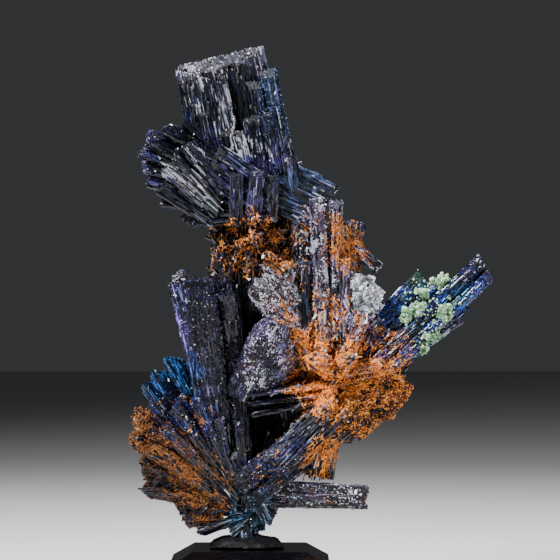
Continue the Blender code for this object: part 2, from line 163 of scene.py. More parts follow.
# %% A finer mesh to paint on
PATCH = 1.6 * MM  # side of the patches that the painted mesh is cut into
ON_THE_CUT = 0.0002 * MM  # a vertex this near a plane counts as on it


def slice_finely(form, step):
    """Cuts the faces along a grid of planes, step apart, so that paint and noise have points to use."""
    for axis in range(3):
        normal = Vector([float(axis == other) for other in range(3)])
        places = [vert.co[axis] for vert in form.verts]
        low, high = min(places), max(places)
        for number in range(1, int((high - low) / step)):
            everything = form.verts[:] + form.edges[:] + form.faces[:]
            plane = {"plane_co": normal * (low + number * step), "plane_no": normal}
            bmesh.ops.bisect_plane(form, geom=everything, dist=ON_THE_CUT, **plane)
    bmesh.ops.triangulate(form, faces=form.faces)


def mesh_from(form, name):
    mesh = bpy.data.meshes.new(name)
    form.to_mesh(mesh)
    form.free()
    return mesh


slice_finely(cluster_form, PATCH)
cluster_mesh = mesh_from(cluster_form, "azurite_body")
print(f"{len(cluster_mesh.polygons)} patches to paint")

# %% [markdown]
# ## Step 2: say what grows where
#
# The specimen isn't the same all over: the crown is nearly black, the right arm is vivid blue, and
# rust fills the middle. An image texture could say so, but it would show only from one side. Regions
# in space colour every side alike. Each region is a soft-edged ellipsoid with a name. It says what
# colour the azurite has there, how much limonite stains it, how much druse (a crust of tiny
# crystals) covers it, and how many of its pieces get a painted glint: a pale grey colour that
# stands for the lamps' reflection. In gaps and hollows the colour is painted shade, and on a few
# rims and plates it is a painted highlight. Later regions are laid over earlier ones.


# %% What a region says
@dataclass(frozen=True)
class Region:
    name: str
    centre: tuple  # millimetres
    radii: tuple
    tint_and_painted_light: tuple
    rust: float
    druse: float
    # share of the pieces that get a painted glint, a pale grey that stands for reflection
    painted_glint: float
    # brightness of the limonite, partly painted shade
    rust_tone_and_shade: float = 1.0


INK = (0.006, 0.007, 0.016)
COAL = (0.009, 0.010, 0.022)
SLATE = (0.016, 0.019, 0.042)
PEWTER = (0.026, 0.029, 0.054)
STEEL = (0.025, 0.042, 0.090)
INDIGO = (0.026, 0.024, 0.085)
DUSK = (0.030, 0.028, 0.090)
VIOLET = (0.066, 0.056, 0.180)
LILAC = (0.120, 0.112, 0.195)
LAVENDER = (0.132, 0.110, 0.245)
SHADE = (0.007, 0.009, 0.030)
GLOOM = (0.020, 0.018, 0.047)
NIGHT = (0.008, 0.012, 0.055)
MIDNIGHT = (0.014, 0.022, 0.110)
ROYAL = (0.006, 0.025, 0.190)
CERULEAN = (0.009, 0.050, 0.155)
TEAL = (0.020, 0.050, 0.100)
LAGOON = (0.012, 0.070, 0.150)
FERN = (0.012, 0.085, 0.055)
ASH = (0.055, 0.054, 0.080)
FROST = (0.160, 0.148, 0.175)
# a pale grey used only for painted highlights
PAINTED_HIGHLIGHT = (0.250, 0.250, 0.280)

BARE = Region("bare", (0, 0, 0), (1, 1, 1), INK, 0.10, 0.20, 0.10)
print(f"where no region reaches, rust is {BARE.rust} and druse {BARE.druse}")

# %% Regions of the crown, the lobe and the collar
UPPER_REGIONS = (
    Region("crown", (-3, 0, 98), (15, 13, 16), COAL, 0.0, 0.10, 0.14),
    Region("crown_front_foot", (-2, -6, 90), (11, 4, 5.5), PEWTER, 0.0, 0.05, 0.46),
    Region("crown_right_side", (5.5, -3, 97), (4, 8, 12), STEEL, 0.0, 0.86, 0.04),
    # painted shade: a dark tint in the recess of the crown
    Region("crown_recess", (-0.5, 1, 102), (3.6, 6, 6), INK, 0.0, 0.15, 0.04),
    # painted highlights: the rod and the rims below get pale tints and many painted glints where the
    # lamps catch them
    Region("crown_rod", (-3.9, -3.6, 101), (0.7, 2.0, 5), PAINTED_HIGHLIGHT, 0.0, 0.0, 0.50),
    Region("crown_top_rim", (-7, -2, 108), (9, 6, 1.7), LILAC, 0.0, 0.45, 0.40),
    Region("crown_top_right", (0, -2, 109.8), (5, 8, 2.2), LILAC, 0.0, 0.60, 0.35),
    Region("crown_left_rim", (-11.5, -5, 105.9), (6, 6, 1.9), PAINTED_HIGHLIGHT, 0.0, 0.92, 0.95),
    Region("left_lobe", (-14, -2, 86), (12, 12, 12), SHADE, 0.0, 0.25, 0.02),
    Region("lobe_plates", (-12.5, -7, 83), (7, 4.5, 6), INK, 0.0, 0.0, 0.04),
    # painted highlights: pale tints and painted glints on the three plates that face the key lamp
    Region("painted_glint_plate_top", (-15.8, -6, 86.2), (1.8, 6, 1.8), PAINTED_HIGHLIGHT, 0.0, 0.0, 0.58),
    Region("painted_glint_plate_middle", (-12.2, -6, 82.8), (2.0, 6, 1.9), PAINTED_HIGHLIGHT, 0.0, 0.0, 0.70),
    Region("painted_glint_plate_low", (-8.6, -6, 79.8), (1.7, 6, 1.9), PAINTED_HIGHLIGHT, 0.0, 0.0, 0.58),
    Region("left_lobe_rim", (-23.5, -2, 86), (5, 10, 12), DUSK, 0.0, 0.60, 0.10),
    Region("collar", (8, -2, 83), (12, 12, 8), STEEL, 0.0, 0.30, 0.03),
    Region("collar_tops", (6, -4, 88), (9, 9, 3.5), DUSK, 0.0, 0.60, 0.12),
    Region("collar_posts", (1, -7, 81), (7, 4, 5), INDIGO, 0.10, 0.30, 0.10),
)
print(f"{len(UPPER_REGIONS)} regions above the neck")

# %% Regions from the neck to the spray, and the right arm
MIDDLE_REGIONS = (
    Region("neck", (1, -3, 70), (12, 12, 9), INK, 0.62, 0.05, 0.07, 1.15),
    Region("right_shoulder", (14, -3, 70), (5, 12, 13), LILAC, 0.45, 0.88, 0.42),
    Region("salmon_side", (21, -3, 71), (5, 12, 9), LILAC, 0.80, 0.40, 0.12, 0.75),
    Region("small_finger", (28.5, -2, 67), (6.5, 8, 5), SLATE, 0.10, 0.55, 0.26),
    Region("lit_slope", (6, -6, 60), (7, 7, 7), FROST, 0.50, 1.0, 0.34),
    Region("slope_top", (3.4, -9, 63), (4, 7, 4), FROST, 0.38, 1.0, 0.60),
    # painted shade: a dark tint in the gap under the slope
    Region("shadow_gap", (-1.5, 0, 59), (5, 6, 6), INK, 0.20, 0.15, 0.03),
    Region("spray", (17, -3, 47), (14, 14, 13), ASH, 0.80, 0.50, 0.16, 1.3),
    Region("spray_top", (16, -5, 57), (10, 10, 5), LILAC, 0.64, 0.84, 0.26, 1.3),
    Region("spray_heart", (15, -8, 44), (7, 9, 6), INDIGO, 0.91, 0.40, 0.08, 1.3),
    Region("central_block", (1.0, -9, 47.5), (8.5, 8, 11), LAVENDER, 0.34, 1.0, 0.34),
    # painted shade: a darker tint in the block's hollow
    Region("block_hollow", (3.4, -9, 48.6), (2.6, 8, 2.6), GLOOM, 0.30, 1.0, 0.08),
    Region("block_edge", (0.6, -9, 43.8), (5.0, 8, 2.6), FROST, 0.10, 1.0, 0.60),
    Region("dark_slabs", (3.5, -6, 39.4), (7, 9, 2.8), INK, 0.25, 0.0, 0.04),
    # painted shade: a dark tint in the gap beside the shoulder
    Region("shoulder_gap", (10.9, -4, 60), (1.3, 9, 6), INK, 0.10, 0.0, 0.02),
    Region("right_arm", (37, -1, 57), (14, 9, 12), ROYAL, 0.0, 0.86, 0.04),
    Region("arm_needles", (40.6, -1, 53.6), (3.2, 6, 2.4), LILAC, 0.0, 0.10, 0.45),
    Region("arm_tip", (46, -2, 65.5), (5, 7, 5), MIDNIGHT, 0.0, 0.86, 0.11),
    Region("arm_teal_low", (31.5, -2, 54.5), (4, 8, 3), TEAL, 0.0, 0.86, 0.06),
    Region("arm_teal_front", (42, -4, 61), (3, 6, 2.6), LAGOON, 0.0, 0.86, 0.10),
    Region("arm_green", (34.5, -3, 64.6), (4.5, 6, 1.9), FERN, 0.0, 0.86, 0.08),
    Region("arm_root", (28, -2, 49), (5, 9, 6), INDIGO, 0.62, 0.20, 0.06),
)
print(f"{len(MIDDLE_REGIONS)} regions in the middle")

# %% Regions of the left blade, the fans and the foot
LOWER_REGIONS = (
    Region("left_blade", (-8, -6, 46), (8, 9, 21), GLOOM, 0.0, 0.88, 0.04),
    Region("left_blade_edge", (-14, -6, 50), (2.6, 9, 20), VIOLET, 0.0, 0.75, 0.06),
    Region("left_blade_top", (-16.5, -6, 65), (4.5, 6, 2.2), ASH, 0.0, 0.92, 0.30),
    Region("upper_left_fan", (-16, 0, 45), (9, 10, 8), CERULEAN, 0.0, 0.35, 0.05),
    Region("middle_left_fan", (-14, -3, 35), (9, 9, 7), NIGHT, 0.48, 0.90, 0.02, 0.42),
    Region("lower_left_fan", (-14, -2, 24), (12, 12, 10), INK, 0.68, 0.10, 0.02, 0.15),
    Region("left_rim_rust", (-22.4, -2, 34), (3, 12, 6), INK, 0.76, 0.10, 0.05, 0.32),
    Region("left_shadow", (-19.5, -2, 24), (5, 12, 4.5), INK, 0.55, 0.0, 0.02, 0.12),
    Region("rust_strip_top", (-16.8, -6, 29.5), (3.2, 12, 3.4), INK, 0.86, 0.0, 0.02, 0.33),
    Region("rust_strip_middle", (-12.6, -6, 24.4), (3.6, 12, 3.8), INK, 0.86, 0.0, 0.02, 0.33),
    Region("rust_strip_low", (-8.8, -6, 18.6), (3.8, 12, 3.8), INK, 0.86, 0.0, 0.02, 0.33),
    # painted shade: a dark tint in the deep hollow behind the slabs
    Region("painted_shade_hollow", (2.6, 3, 35), (9, 8.5, 9), INK, 0.0, 0.0, 0.01),
    Region("front_slabs", (7, -7, 27), (11, 6, 7), NIGHT, 0.40, 0.90, 0.05, 0.55),
    Region("hanging_rust", (14, -1, 29), (4.5, 9, 6), INK, 0.84, 0.10, 0.14, 1.0),
    Region("foot", (1, -3, 17), (7, 9, 6), TEAL, 0.0, 0.30, 0.10),
    Region("lying_blade", (16, -4, 21), (11, 6, 4), ASH, 0.40, 0.87, 0.30),
    Region("right_mass", (25, 0, 40), (9, 12, 9), INK, 0.88, 0.20, 0.10, 1.05),
    Region("right_mass_low", (25, -2, 36), (7, 12, 4), INK, 0.80, 0.20, 0.20, 0.7),
)
REGIONS = UPPER_REGIONS + MIDDLE_REGIONS + LOWER_REGIONS
print(f"{len(LOWER_REGIONS)} regions on the left and below")

# %% Reading and writing a mesh
OPENNESS_RAYS = 14
OPENNESS_REACH = 9.0 * MM
RAY_START = 0.1  # millimetres above the surface


def fade(values, start=0.0, width=1.0):
    """From 0 at the start to 1 where the values are a width past it, softly."""
    clipped = np.clip((values - start) / width, 0.0, 1.0)
    return clipped * clipped * (3.0 - 2.0 * clipped)


def set_attribute(mesh, name, values, kind="FLOAT"):
    attribute = mesh.attributes.new(name, kind, "POINT")
    field = "value" if kind == "FLOAT" else "color"
    attribute.data.foreach_set(field, np.asarray(values, np.float32).ravel())


def positions(mesh):
    """Where each vertex is, in millimetres."""
    flat = np.zeros(len(mesh.vertices) * 3)
    mesh.vertices.foreach_get("co", flat)
    return flat.reshape(-1, 3) / MM


def openness_of(mesh):
    """How much of the space round each vertex is free, from 0 in a deep gap to 1 on a peak."""
    corners = [vert.co for vert in mesh.vertices]
    tree = BVHTree.FromPolygons(corners, [face.vertices for face in mesh.polygons])
    chance = random.Random(5)
    ways = [Vector([chance.gauss(0, 1) for _ in range(3)]).normalized() for _ in range(OPENNESS_RAYS)]
    shares = []
    for corner, normal in zip(corners, mesh.vertex_normals, strict=True):
        start = corner + normal.vector * RAY_START * MM
        outward = [way if way.dot(normal.vector) > 0 else -way for way in ways]
        free = sum(tree.ray_cast(start, way, OPENNESS_REACH)[0] is None for way in outward)
        shares.append(free / len(ways))
    return np.array(shares)


openness = openness_of(cluster_mesh)
print(f"openness is {openness.mean():.2f} on average")

# %% How much each region counts
WANDER_SCALE = 0.25  # per millimetre
WANDER = 1.6  # millimetres by which noise moves a region's border
REGION_END = 1.15  # where a region has faded out, as a share of its radii
REGION_FADE = 0.4


def region_weights(places):
    """Each region, with how much it counts at each place. Noise makes its border wander."""
    wander = np.array([noise.noise_vector(Vector(place) * WANDER_SCALE) for place in places]) * WANDER
    for region in REGIONS:
        reach = np.linalg.norm((places + wander - region.centre) / region.radii, axis=1)
        yield region, fade(REGION_END - reach, width=REGION_FADE)


def mark_rust_tone(mesh):
    """How bright the limonite is, by region. It is darkest in the lower left, partly as painted shade.
    """
    places = positions(mesh)
    tone = np.full(len(places), BARE.rust_tone_and_shade)
    for region, weight in region_weights(places):
        tone += (region.rust_tone_and_shade - tone) * weight
    set_attribute(mesh, "rust_tone_and_shade", tone)
    return tone


rust_tone_and_shade = mark_rust_tone(cluster_mesh)
print(f"rust tone runs from {rust_tone_and_shade.min():.2f} to {rust_tone_and_shade.max():.2f}")

# %% Near the malachite
TUFTS = 6
TUFT_REACH = 3.6  # millimetres round a tuft's middle where crust grows on the azurite


def near_tufts(places):
    """One at a malachite tuft's middle, falling to nothing at the reach."""
    share = np.zeros(len(places))
    for number in range(1, TUFTS + 1):
        corners = [vert.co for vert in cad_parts[f"malachite_tuft_{number}"].data.vertices]
        middle = sum(corners, Vector()) / len(corners) / MM
        distance = np.linalg.norm(places - np.array(middle), axis=1)
        share = np.maximum(share, fade(TUFT_REACH - distance, width=0.5 * TUFT_REACH))
    return share


tuft_share = near_tufts(positions(cluster_mesh))
print(f"{(tuft_share > 0).sum()} points near malachite")

# %% Painting the cluster
TANGLED = ("neck", "spray")
CLUMP_SCALE = 0.28  # per millimetre
CLUMP_DEPTH = 0.30  # how much noise adds to the rust or takes from it
PAINTED_GAP_SHADE = 0.25  # share of its brightness that azurite keeps deep in a gap, where its tint is darkened as painted shade
CRUST_PAINTED_LIGHT = 0.7  # relief given to the malachite crust on the azurite, so that its painted light is as pale as on a tuft's heights


def blended_regions(places):
    """The tint with its painted light and shade, the rust, druse, painted glint and tangle at each
    place, with the regions laid over each other.
    """
    count = len(places)
    tint_and_painted_light = np.tile((*BARE.tint_and_painted_light, 1.0), (count, 1))
    shares = {key: np.full(count, getattr(BARE, key)) for key in ("rust", "druse", "painted_glint")}
    shares["tangle"] = np.zeros(count)
    for region, weight in region_weights(places):
        tint_and_painted_light[:, :3] += (np.array(region.tint_and_painted_light) - tint_and_painted_light[:, :3]) * weight[:, None]
        for key in ("rust", "druse", "painted_glint"):
            shares[key] += (getattr(region, key) - shares[key]) * weight
        if region.name in TANGLED:
            shares["tangle"] = np.maximum(shares["tangle"], weight)
    return tint_and_painted_light, shares


def paint_regions(mesh):
    """Gives each vertex its colours, with painted shade deep in gaps, and for each kind of growth how
    densely it stands.
    """
    places = positions(mesh)
    tint_and_painted_light, shares = blended_regions(places)
    clumps = np.array([noise.fractal(Vector(place) * CLUMP_SCALE, 0.7, 2.0, 3) for place in places])
    shares["rust"] *= (0.95 + CLUMP_DEPTH * clumps) * fade(shares["rust"], start=0.05, width=0.12)
    shares["painted_glint"] *= fade(openness, width=0.5)
    # painted shade: the tint is darkened where the surface is least open
    tint_and_painted_light[:, :3] *= (PAINTED_GAP_SHADE + (1.0 - PAINTED_GAP_SHADE) * fade(openness, width=0.55))[:, None]
    set_attribute(mesh, "tint_and_painted_light", tint_and_painted_light, kind="FLOAT_COLOR")
    set_attribute(mesh, "rust", shares["rust"])
    set_attribute(mesh, "painted_glint", shares["painted_glint"])
    set_attribute(mesh, "relief", np.full(len(places), CRUST_PAINTED_LIGHT))
    druse = shares["druse"]
    granules = fade(druse, start=0.8, width=0.15)
    growths = {
        "splinters": 1.0 - 0.5 * druse - 0.5 * druse**4,
        "druse": druse,
        "granules": granules,
        "plates": fade(shares["painted_glint"], start=0.22, width=0.3) * (1.0 - granules),
        "rust": shares["rust"],
        "tangle": shares["tangle"],
        "malachite": tuft_share,
    }
    reached = fade(openness, start=0.04, width=0.15)
    for kind, share in growths.items():
        set_attribute(mesh, kind + "_share", share * reached)


paint_regions(cluster_mesh)
print(f"{len(REGIONS)} regions painted on {len(cluster_mesh.vertices)} points")

# %% [markdown]
# ## Step 3: tools for materials
#
# Real minerals are speckled at every size, so every material here needs noise, masks and mixed
# colours. Each could be built by hand in the editor. Short helpers say the same in one line, and a
# pattern that several materials share is a node group, built once.


# %% Adding nodes
def set_sockets(tree, node, sockets):
    """Each value is a socket to link or a constant to set."""
    for key, value in sockets.items():
        if isinstance(value, bpy.types.NodeSocket):
            tree.links.new(value, node.inputs[key])
        else:
            node.inputs[key].default_value = value


def add_node(tree, kind, sockets=None, **settings):
    """Adds a node and gives its outputs."""
    made = tree.nodes.new(kind)
    for key, value in settings.items():
        setattr(made, key, value)
    set_sockets(tree, made, sockets or {})
    return made.outputs


def math_of(tree, operation, first, second=0.0):
    return add_node(tree, "ShaderNodeMath", {0: first, 1: second}, operation=operation)[0]


def product_of(tree, first, *others):
    for other in others:
        first = math_of(tree, "MULTIPLY", first, other)
    return first


def vector_math(tree, operation, sockets, output=0):
    return add_node(tree, "ShaderNodeVectorMath", sockets, operation=operation)[output]


def scaled(tree, vector, scale):
    return vector_math(tree, "SCALE", {0: vector, "Scale": scale})


def ramp_of(tree, value, low, high, start=0.0, end=1.0):
    """The value remapped from low..high to start..end, and clamped."""
    return add_node(tree, "ShaderNodeMapRange", {0: value, 1: low, 2: high, 3: start, 4: end})[0]


def colour_mix(tree, factor, first, second):
    return add_node(tree, "ShaderNodeMix", {0: factor, 6: first, 7: second}, data_type="RGBA")[2]


def attribute_of(tree, name, output="Fac"):
    return add_node(tree, "ShaderNodeAttribute", attribute_name=name)[output]


def noise_of(tree, place, scale, detail=4.0, roughness=0.7):
    sockets = {"Vector": place, "Scale": scale, "Detail": detail, "Roughness": roughness}
    return add_node(tree, "ShaderNodeTexNoise", sockets)["Fac"]


def object_place(tree):
    return add_node(tree, "ShaderNodeTexCoord")["Object"]


print("node helpers ready")


# %% Node groups
def new_group(name, inputs, outputs):
    """An empty node group. Inputs and outputs map a socket's name to its kind."""
    group = bpy.data.node_groups.new(name, "ShaderNodeTree")
    for label, kind in inputs.items():
        group.interface.new_socket(label, in_out="INPUT", socket_type="NodeSocket" + kind)
    for label, kind in outputs.items():
        group.interface.new_socket(label, in_out="OUTPUT", socket_type="NodeSocket" + kind)
    return group, group.nodes.new("NodeGroupInput").outputs, group.nodes.new("NodeGroupOutput")


def use_group(tree, group, sockets):
    return add_node(tree, "ShaderNodeGroup", sockets, node_tree=group)


def mineral_grain_group():
    """Noise in the object's own space, for patches of colour and for bumps."""
    inputs = dict.fromkeys(("Scale", "Detail", "Roughness"), "Float")
    group, given, result = new_group("mineral_grain", inputs, {"Value": "Float"})
    grain = noise_of(group, object_place(group), given["Scale"], given["Detail"], given["Roughness"])
    set_sockets(group, result, {"Value": grain})
    return group


MINERAL_GRAIN = mineral_grain_group()


def grain_of(tree, scale, detail=4.0, roughness=0.6):
    """The mineral grain, placed in a tree with its scale per millimetre."""
    sockets = {"Scale": scale / MM, "Detail": detail, "Roughness": roughness}
    return use_group(tree, MINERAL_GRAIN, sockets)["Value"]


print(f"{MINERAL_GRAIN.name} has {len(MINERAL_GRAIN.nodes)} nodes")

# %% [markdown]
# ## Step 4: the limonite stain
#
# Limonite is iron rust. It settles in thin wandering veins, drawn out along the crystals, and where
# there is much of it the veins close into a crust. A painted mask would need a very fine mesh. A
# noise has such veins in it already, along its middle level, and a mask that widens with the painted
# rust gives both. Grains grow in Step 11 by the same noise, so they stand on the stained veins.

# %% Veins
VEIN_SCALE = 0.62  # per millimetre
VEIN_STRETCH = 0.68  # share of its length by which a vein is drawn out along the growth
VEIN_REACH = 0.10  # half the width of noise that a vein takes where rust is full
VEIN_EDGE = 0.010


def vein_noise(tree, place, axis):
    """Noise drawn out along the growth axis."""
    along = vector_math(tree, "DOT_PRODUCT", {0: place, 1: axis}, 1)
    shift = scaled(tree, axis, product_of(tree, along, VEIN_STRETCH))
    drawn = vector_math(tree, "SUBTRACT", {0: place, 1: shift})
    return noise_of(tree, drawn, VEIN_SCALE / MM)


def vein_mask(tree, rust, values):
    """One along the middle level of a noise, in a line that widens with the cube of the rust."""
    distance = math_of(tree, "ABSOLUTE", math_of(tree, "SUBTRACT", values, 0.5))
    reach = product_of(tree, rust, rust, rust, VEIN_REACH)
    return ramp_of(tree, math_of(tree, "SUBTRACT", reach, distance), 0.0, VEIN_EDGE)


print(f"veins about {1 / VEIN_SCALE:.1f} mm apart")

# %% The stain
RUST_BRIGHT = (0.74, 0.21, 0.022, 1.0)
RUST_PEACH = (0.90, 0.36, 0.05, 1.0)
RUST_DARK = (0.07, 0.018, 0.006, 1.0)


def limonite_stain_group():
    """Where limonite stains a face, and in which of its colours."""
    outputs = {"Mask": "Float", "Colour": "Color"}
    group, given, result = new_group("limonite_stain", {"Rust": "Float"}, outputs)
    veins = vein_noise(group, object_place(group), attribute_of(group, "growth_axis", "Vector"))
    shade = grain_of(group, 1.1, 5.0, 0.7)
    warm = colour_mix(group, ramp_of(group, shade, 0.42, 0.62), RUST_BRIGHT, RUST_PEACH)
    colour = colour_mix(group, ramp_of(group, shade, 0.36, 0.52), RUST_DARK, warm)
    toned = scaled(group, colour, attribute_of(group, "rust_tone_and_shade"))
    set_sockets(group, result, {"Mask": vein_mask(group, given["Rust"], veins), "Colour": toned})
    return group


LIMONITE_STAIN = limonite_stain_group()
print(f"{LIMONITE_STAIN.name} has {len(LIMONITE_STAIN.nodes)} nodes")

# %% [markdown]
# ## Step 5: azurite
#
# Azurite is dark and glassy, so most of its brightness is reflection. Its blue changes from crystal
# to crystal and in patches, and some pieces look silver because their faces meet the light. One
# plain blue would look like plastic. Here each piece has a random tone of its own: it sets how deep
# the blue is, and the highest tones get a painted glint, a pale grey colour that stands for that
# reflection. The faces between the pieces get the same colours, much darker as painted shade, with
# striations along their UVs, so that gaps look deep.

# %% The colour of a piece of azurite
DRIFT_VIOLET = (1.12, 0.92, 1.10, 1.0)
DRIFT_GREEN = (0.82, 1.05, 0.98, 1.0)


def azurite_colour_group():
    """Blue by its region and tone, or a painted glint, a pale grey that stands for reflection, where its
    tone is high.
    """
    inputs = dict.fromkeys(("Tint", "Painted Glint Colour"), "Color")
    inputs |= dict.fromkeys(("Tone", "Crystal", "Painted Glint"), "Float")
    group, given, result = new_group("azurite_colour", inputs, {"Colour": "Color"})
    cubed = product_of(group, given["Tone"], given["Tone"], given["Tone"])
    own = ramp_of(group, given["Crystal"], 0.0, 1.0, 0.5, 1.5)
    patches = ramp_of(group, grain_of(group, 0.42, 5.0, 0.7), 0.38, 0.62, 0.35, 1.8)
    brightness = product_of(group, ramp_of(group, cubed, 0.0, 1.0, 0.08, 3.0), own, patches)
    drift = ramp_of(group, grain_of(group, 0.22, 5.0, 0.7), 0.42, 0.58)
    hue = colour_mix(group, drift, DRIFT_VIOLET, DRIFT_GREEN)
    tinted = vector_math(group, "MULTIPLY", {0: given["Tint"], 1: hue})
    from_top = math_of(group, "SUBTRACT", 1.0, given["Painted Glint"])
    bright = ramp_of(group, math_of(group, "SUBTRACT", given["Tone"], from_top), 0.0, 0.12)
    colour = colour_mix(group, bright, scaled(group, tinted, brightness), given["Painted Glint Colour"])
    set_sockets(group, result, {"Colour": colour})
    return group


AZURITE_COLOUR = azurite_colour_group()


def azurite_colour(tree, tone, painted_glint, painted_glint_colour):
    sockets = {"Tone": tone, "Painted Glint": painted_glint, "Painted Glint Colour": painted_glint_colour}
    sockets["Tint"] = attribute_of(tree, "tint_and_painted_light", "Color")
    sockets["Crystal"] = attribute_of(tree, "crystal_tone")
    return use_group(tree, AZURITE_COLOUR, sockets)["Colour"]


print(f"{AZURITE_COLOUR.name} has {len(AZURITE_COLOUR.nodes)} nodes")


# %% Azurite materials
STREAK_SCALE = (3.2, 0.16, 1.0)  # per millimetre, across the growth and along it
# the painted glint colour along the body's striations
STREAK_PAINTED_GLINT = (0.10, 0.105, 0.14, 1.0)
BODY_SHADE = 0.2  # how bright the faces between the pieces are, beside the pieces: painted shade of the gaps
RUST_ROUGHNESS = 0.85


def new_material(name):
    made = bpy.data.materials.new(name)
    made.use_nodes = True
    return made, made.node_tree, made.node_tree.nodes["Principled BSDF"]


def bump_of(tree, height, strength, depth):
    """A bump whose depth is in millimetres."""
    sockets = {"Strength": strength, "Distance": depth * MM, "Height": height}
    return add_node(tree, "ShaderNodeBump", sockets)[0]


def azurite_body_material():
    """The faces between the pieces: darkened as painted shade, with striations that run along the
    growth.
    """
    made, tree, shader = new_material("azurite_body")
    uv = add_node(tree, "ShaderNodeUVMap", uv_map="along_growth")["UV"]
    stretch = add_node(tree, "ShaderNodeMapping", {"Vector": uv, "Scale": STREAK_SCALE})[0]
    streaks = noise_of(tree, stretch, 1.0, 6.0, 0.5)
    painted_glint = product_of(tree, attribute_of(tree, "painted_glint"), 0.6)
    blue = azurite_colour(tree, ramp_of(tree, streaks, 0.3, 0.75), painted_glint, STREAK_PAINTED_GLINT)
    stain = use_group(tree, LIMONITE_STAIN, {"Rust": attribute_of(tree, "rust")})
    sockets = {
        "Base Color": colour_mix(tree, stain["Mask"], scaled(tree, blue, BODY_SHADE), stain["Colour"]),
        "Roughness": ramp_of(tree, stain["Mask"], 0.0, 1.0, 0.50, RUST_ROUGHNESS),
        "IOR": 1.35,
        "Normal": bump_of(tree, streaks, 0.4, 0.10),
    }
    set_sockets(tree, shader, sockets)
    return made


def azurite_piece_material(name, painted_glint_colour, roughness, rust_share=0.9):
    """Pieces whose colour changes from one to the next, some of them with a painted glint."""
    made, tree, shader = new_material(name)
    clusters = ramp_of(tree, grain_of(tree, 0.3, 3.0), 0.42, 0.62, 0.25, 1.9)
    painted_glint = product_of(tree, attribute_of(tree, "painted_glint"), clusters)
    blue = azurite_colour(tree, attribute_of(tree, "piece_tone"), painted_glint, painted_glint_colour)
    rust = product_of(tree, attribute_of(tree, "rust"), rust_share)
    stain = use_group(tree, LIMONITE_STAIN, {"Rust": rust})
    sockets = {
        "Base Color": colour_mix(tree, stain["Mask"], blue, stain["Colour"]),
        "Roughness": ramp_of(tree, stain["Mask"], 0.0, 1.0, roughness, RUST_ROUGHNESS),
        "IOR": 1.5,
        "Normal": bump_of(tree, grain_of(tree, 5.0), 0.12, 0.05),
    }
    set_sockets(tree, shader, sockets)
    return made


AZURITE_BODY = azurite_body_material()
# the pale grey given to each material is the painted glint of its pieces, standing for reflection
AZURITE_SPLINTER = azurite_piece_material("azurite_splinter", (0.27, 0.28, 0.33, 1), 0.22)
AZURITE_PLATE = azurite_piece_material("azurite_plate", (0.30, 0.31, 0.37, 1), 0.16)
AZURITE_DRUSE = azurite_piece_material("azurite_druse", (0.50, 0.48, 0.60, 1), 0.26, rust_share=0.8)
AZURITE_GRANULE = azurite_piece_material("azurite_granule", (0.72, 0.70, 0.80, 1), 0.20)
print(f"{AZURITE_BODY.name} has {len(AZURITE_BODY.node_tree.nodes)} nodes")

# %% [markdown]
# ## Step 6: the other minerals, the putty and the base
#
# Limonite is earthy and dull, from dark hollows to peach tips. Malachite is matt, paler green where
# it stands out and darker green in its folds, as painted light and painted shade. The pale crystal is
# frosted, with some light inside it, so it gets a little subsurface. The putty is matt black, and the
# base is polished black acrylic. Colour ramps on the noise alone would look like camouflage, so each
# ramp also reads the piece's own tone.


# %% Limonite and malachite materials
EARTH_DARK = (0.012, 0.006, 0.004, 1)
EARTH_BROWN = (0.10, 0.028, 0.008, 1)
MALACHITE_DARK = (0.006, 0.035, 0.015, 1)
MALACHITE_GREEN = (0.13, 0.28, 0.14, 1)
MALACHITE_PALE = (0.48, 0.66, 0.43, 1)


def limonite_material(name, low, middle, high):
    """Earthy crust and grains, from dark hollows to bright tips."""
    made, tree, shader = new_material(name)
    patches = ramp_of(tree, grain_of(tree, 0.6, 6.0, 0.7), 0.3, 0.7)
    mixed = product_of(tree, math_of(tree, "ADD", patches, attribute_of(tree, "piece_tone")), 0.5)
    lower = colour_mix(tree, ramp_of(tree, mixed, 0.22, 0.5), low, middle)
    pure = colour_mix(tree, ramp_of(tree, mixed, 0.5, 0.8), lower, high)
    sockets = {
        "Base Color": scaled(tree, pure, attribute_of(tree, "rust_tone_and_shade")),
        "Roughness": 0.9,
        "Normal": bump_of(tree, grain_of(tree, 3.0), 0.6, 0.15),
    }
    set_sockets(tree, shader, sockets)
    return made


def malachite_material():
    made, tree, shader = new_material("malachite_balls")
    # painted light and shade: each ball's relief, with its random tone, makes it darker in folds and
    # paler on heights
    both = math_of(tree, "ADD", attribute_of(tree, "piece_tone"), attribute_of(tree, "relief"))
    tone = product_of(tree, both, 0.5)
    lower = colour_mix(tree, ramp_of(tree, tone, 0.15, 0.45), MALACHITE_DARK, MALACHITE_GREEN)
    sockets = {
        "Base Color": colour_mix(tree, ramp_of(tree, tone, 0.45, 0.85), lower, MALACHITE_PALE),
        "Roughness": 0.75,
        "Normal": bump_of(tree, grain_of(tree, 6.0), 0.6, 0.08),
    }
    set_sockets(tree, shader, sockets)
    return made


LIMONITE_EARTH = limonite_material("limonite_earth", EARTH_DARK, EARTH_BROWN, RUST_BRIGHT)
LIMONITE_GRAIN = limonite_material("limonite_grain", RUST_DARK, RUST_BRIGHT, RUST_PEACH)
MALACHITE = malachite_material()
print(f"{LIMONITE_EARTH.name} has {len(LIMONITE_EARTH.node_tree.nodes)} nodes")


# %% Frost, putty and acrylic
FROST_SHADE = (0.025, 0.028, 0.040, 1)
FROST_LIGHT = (0.60, 0.62, 0.68, 1)


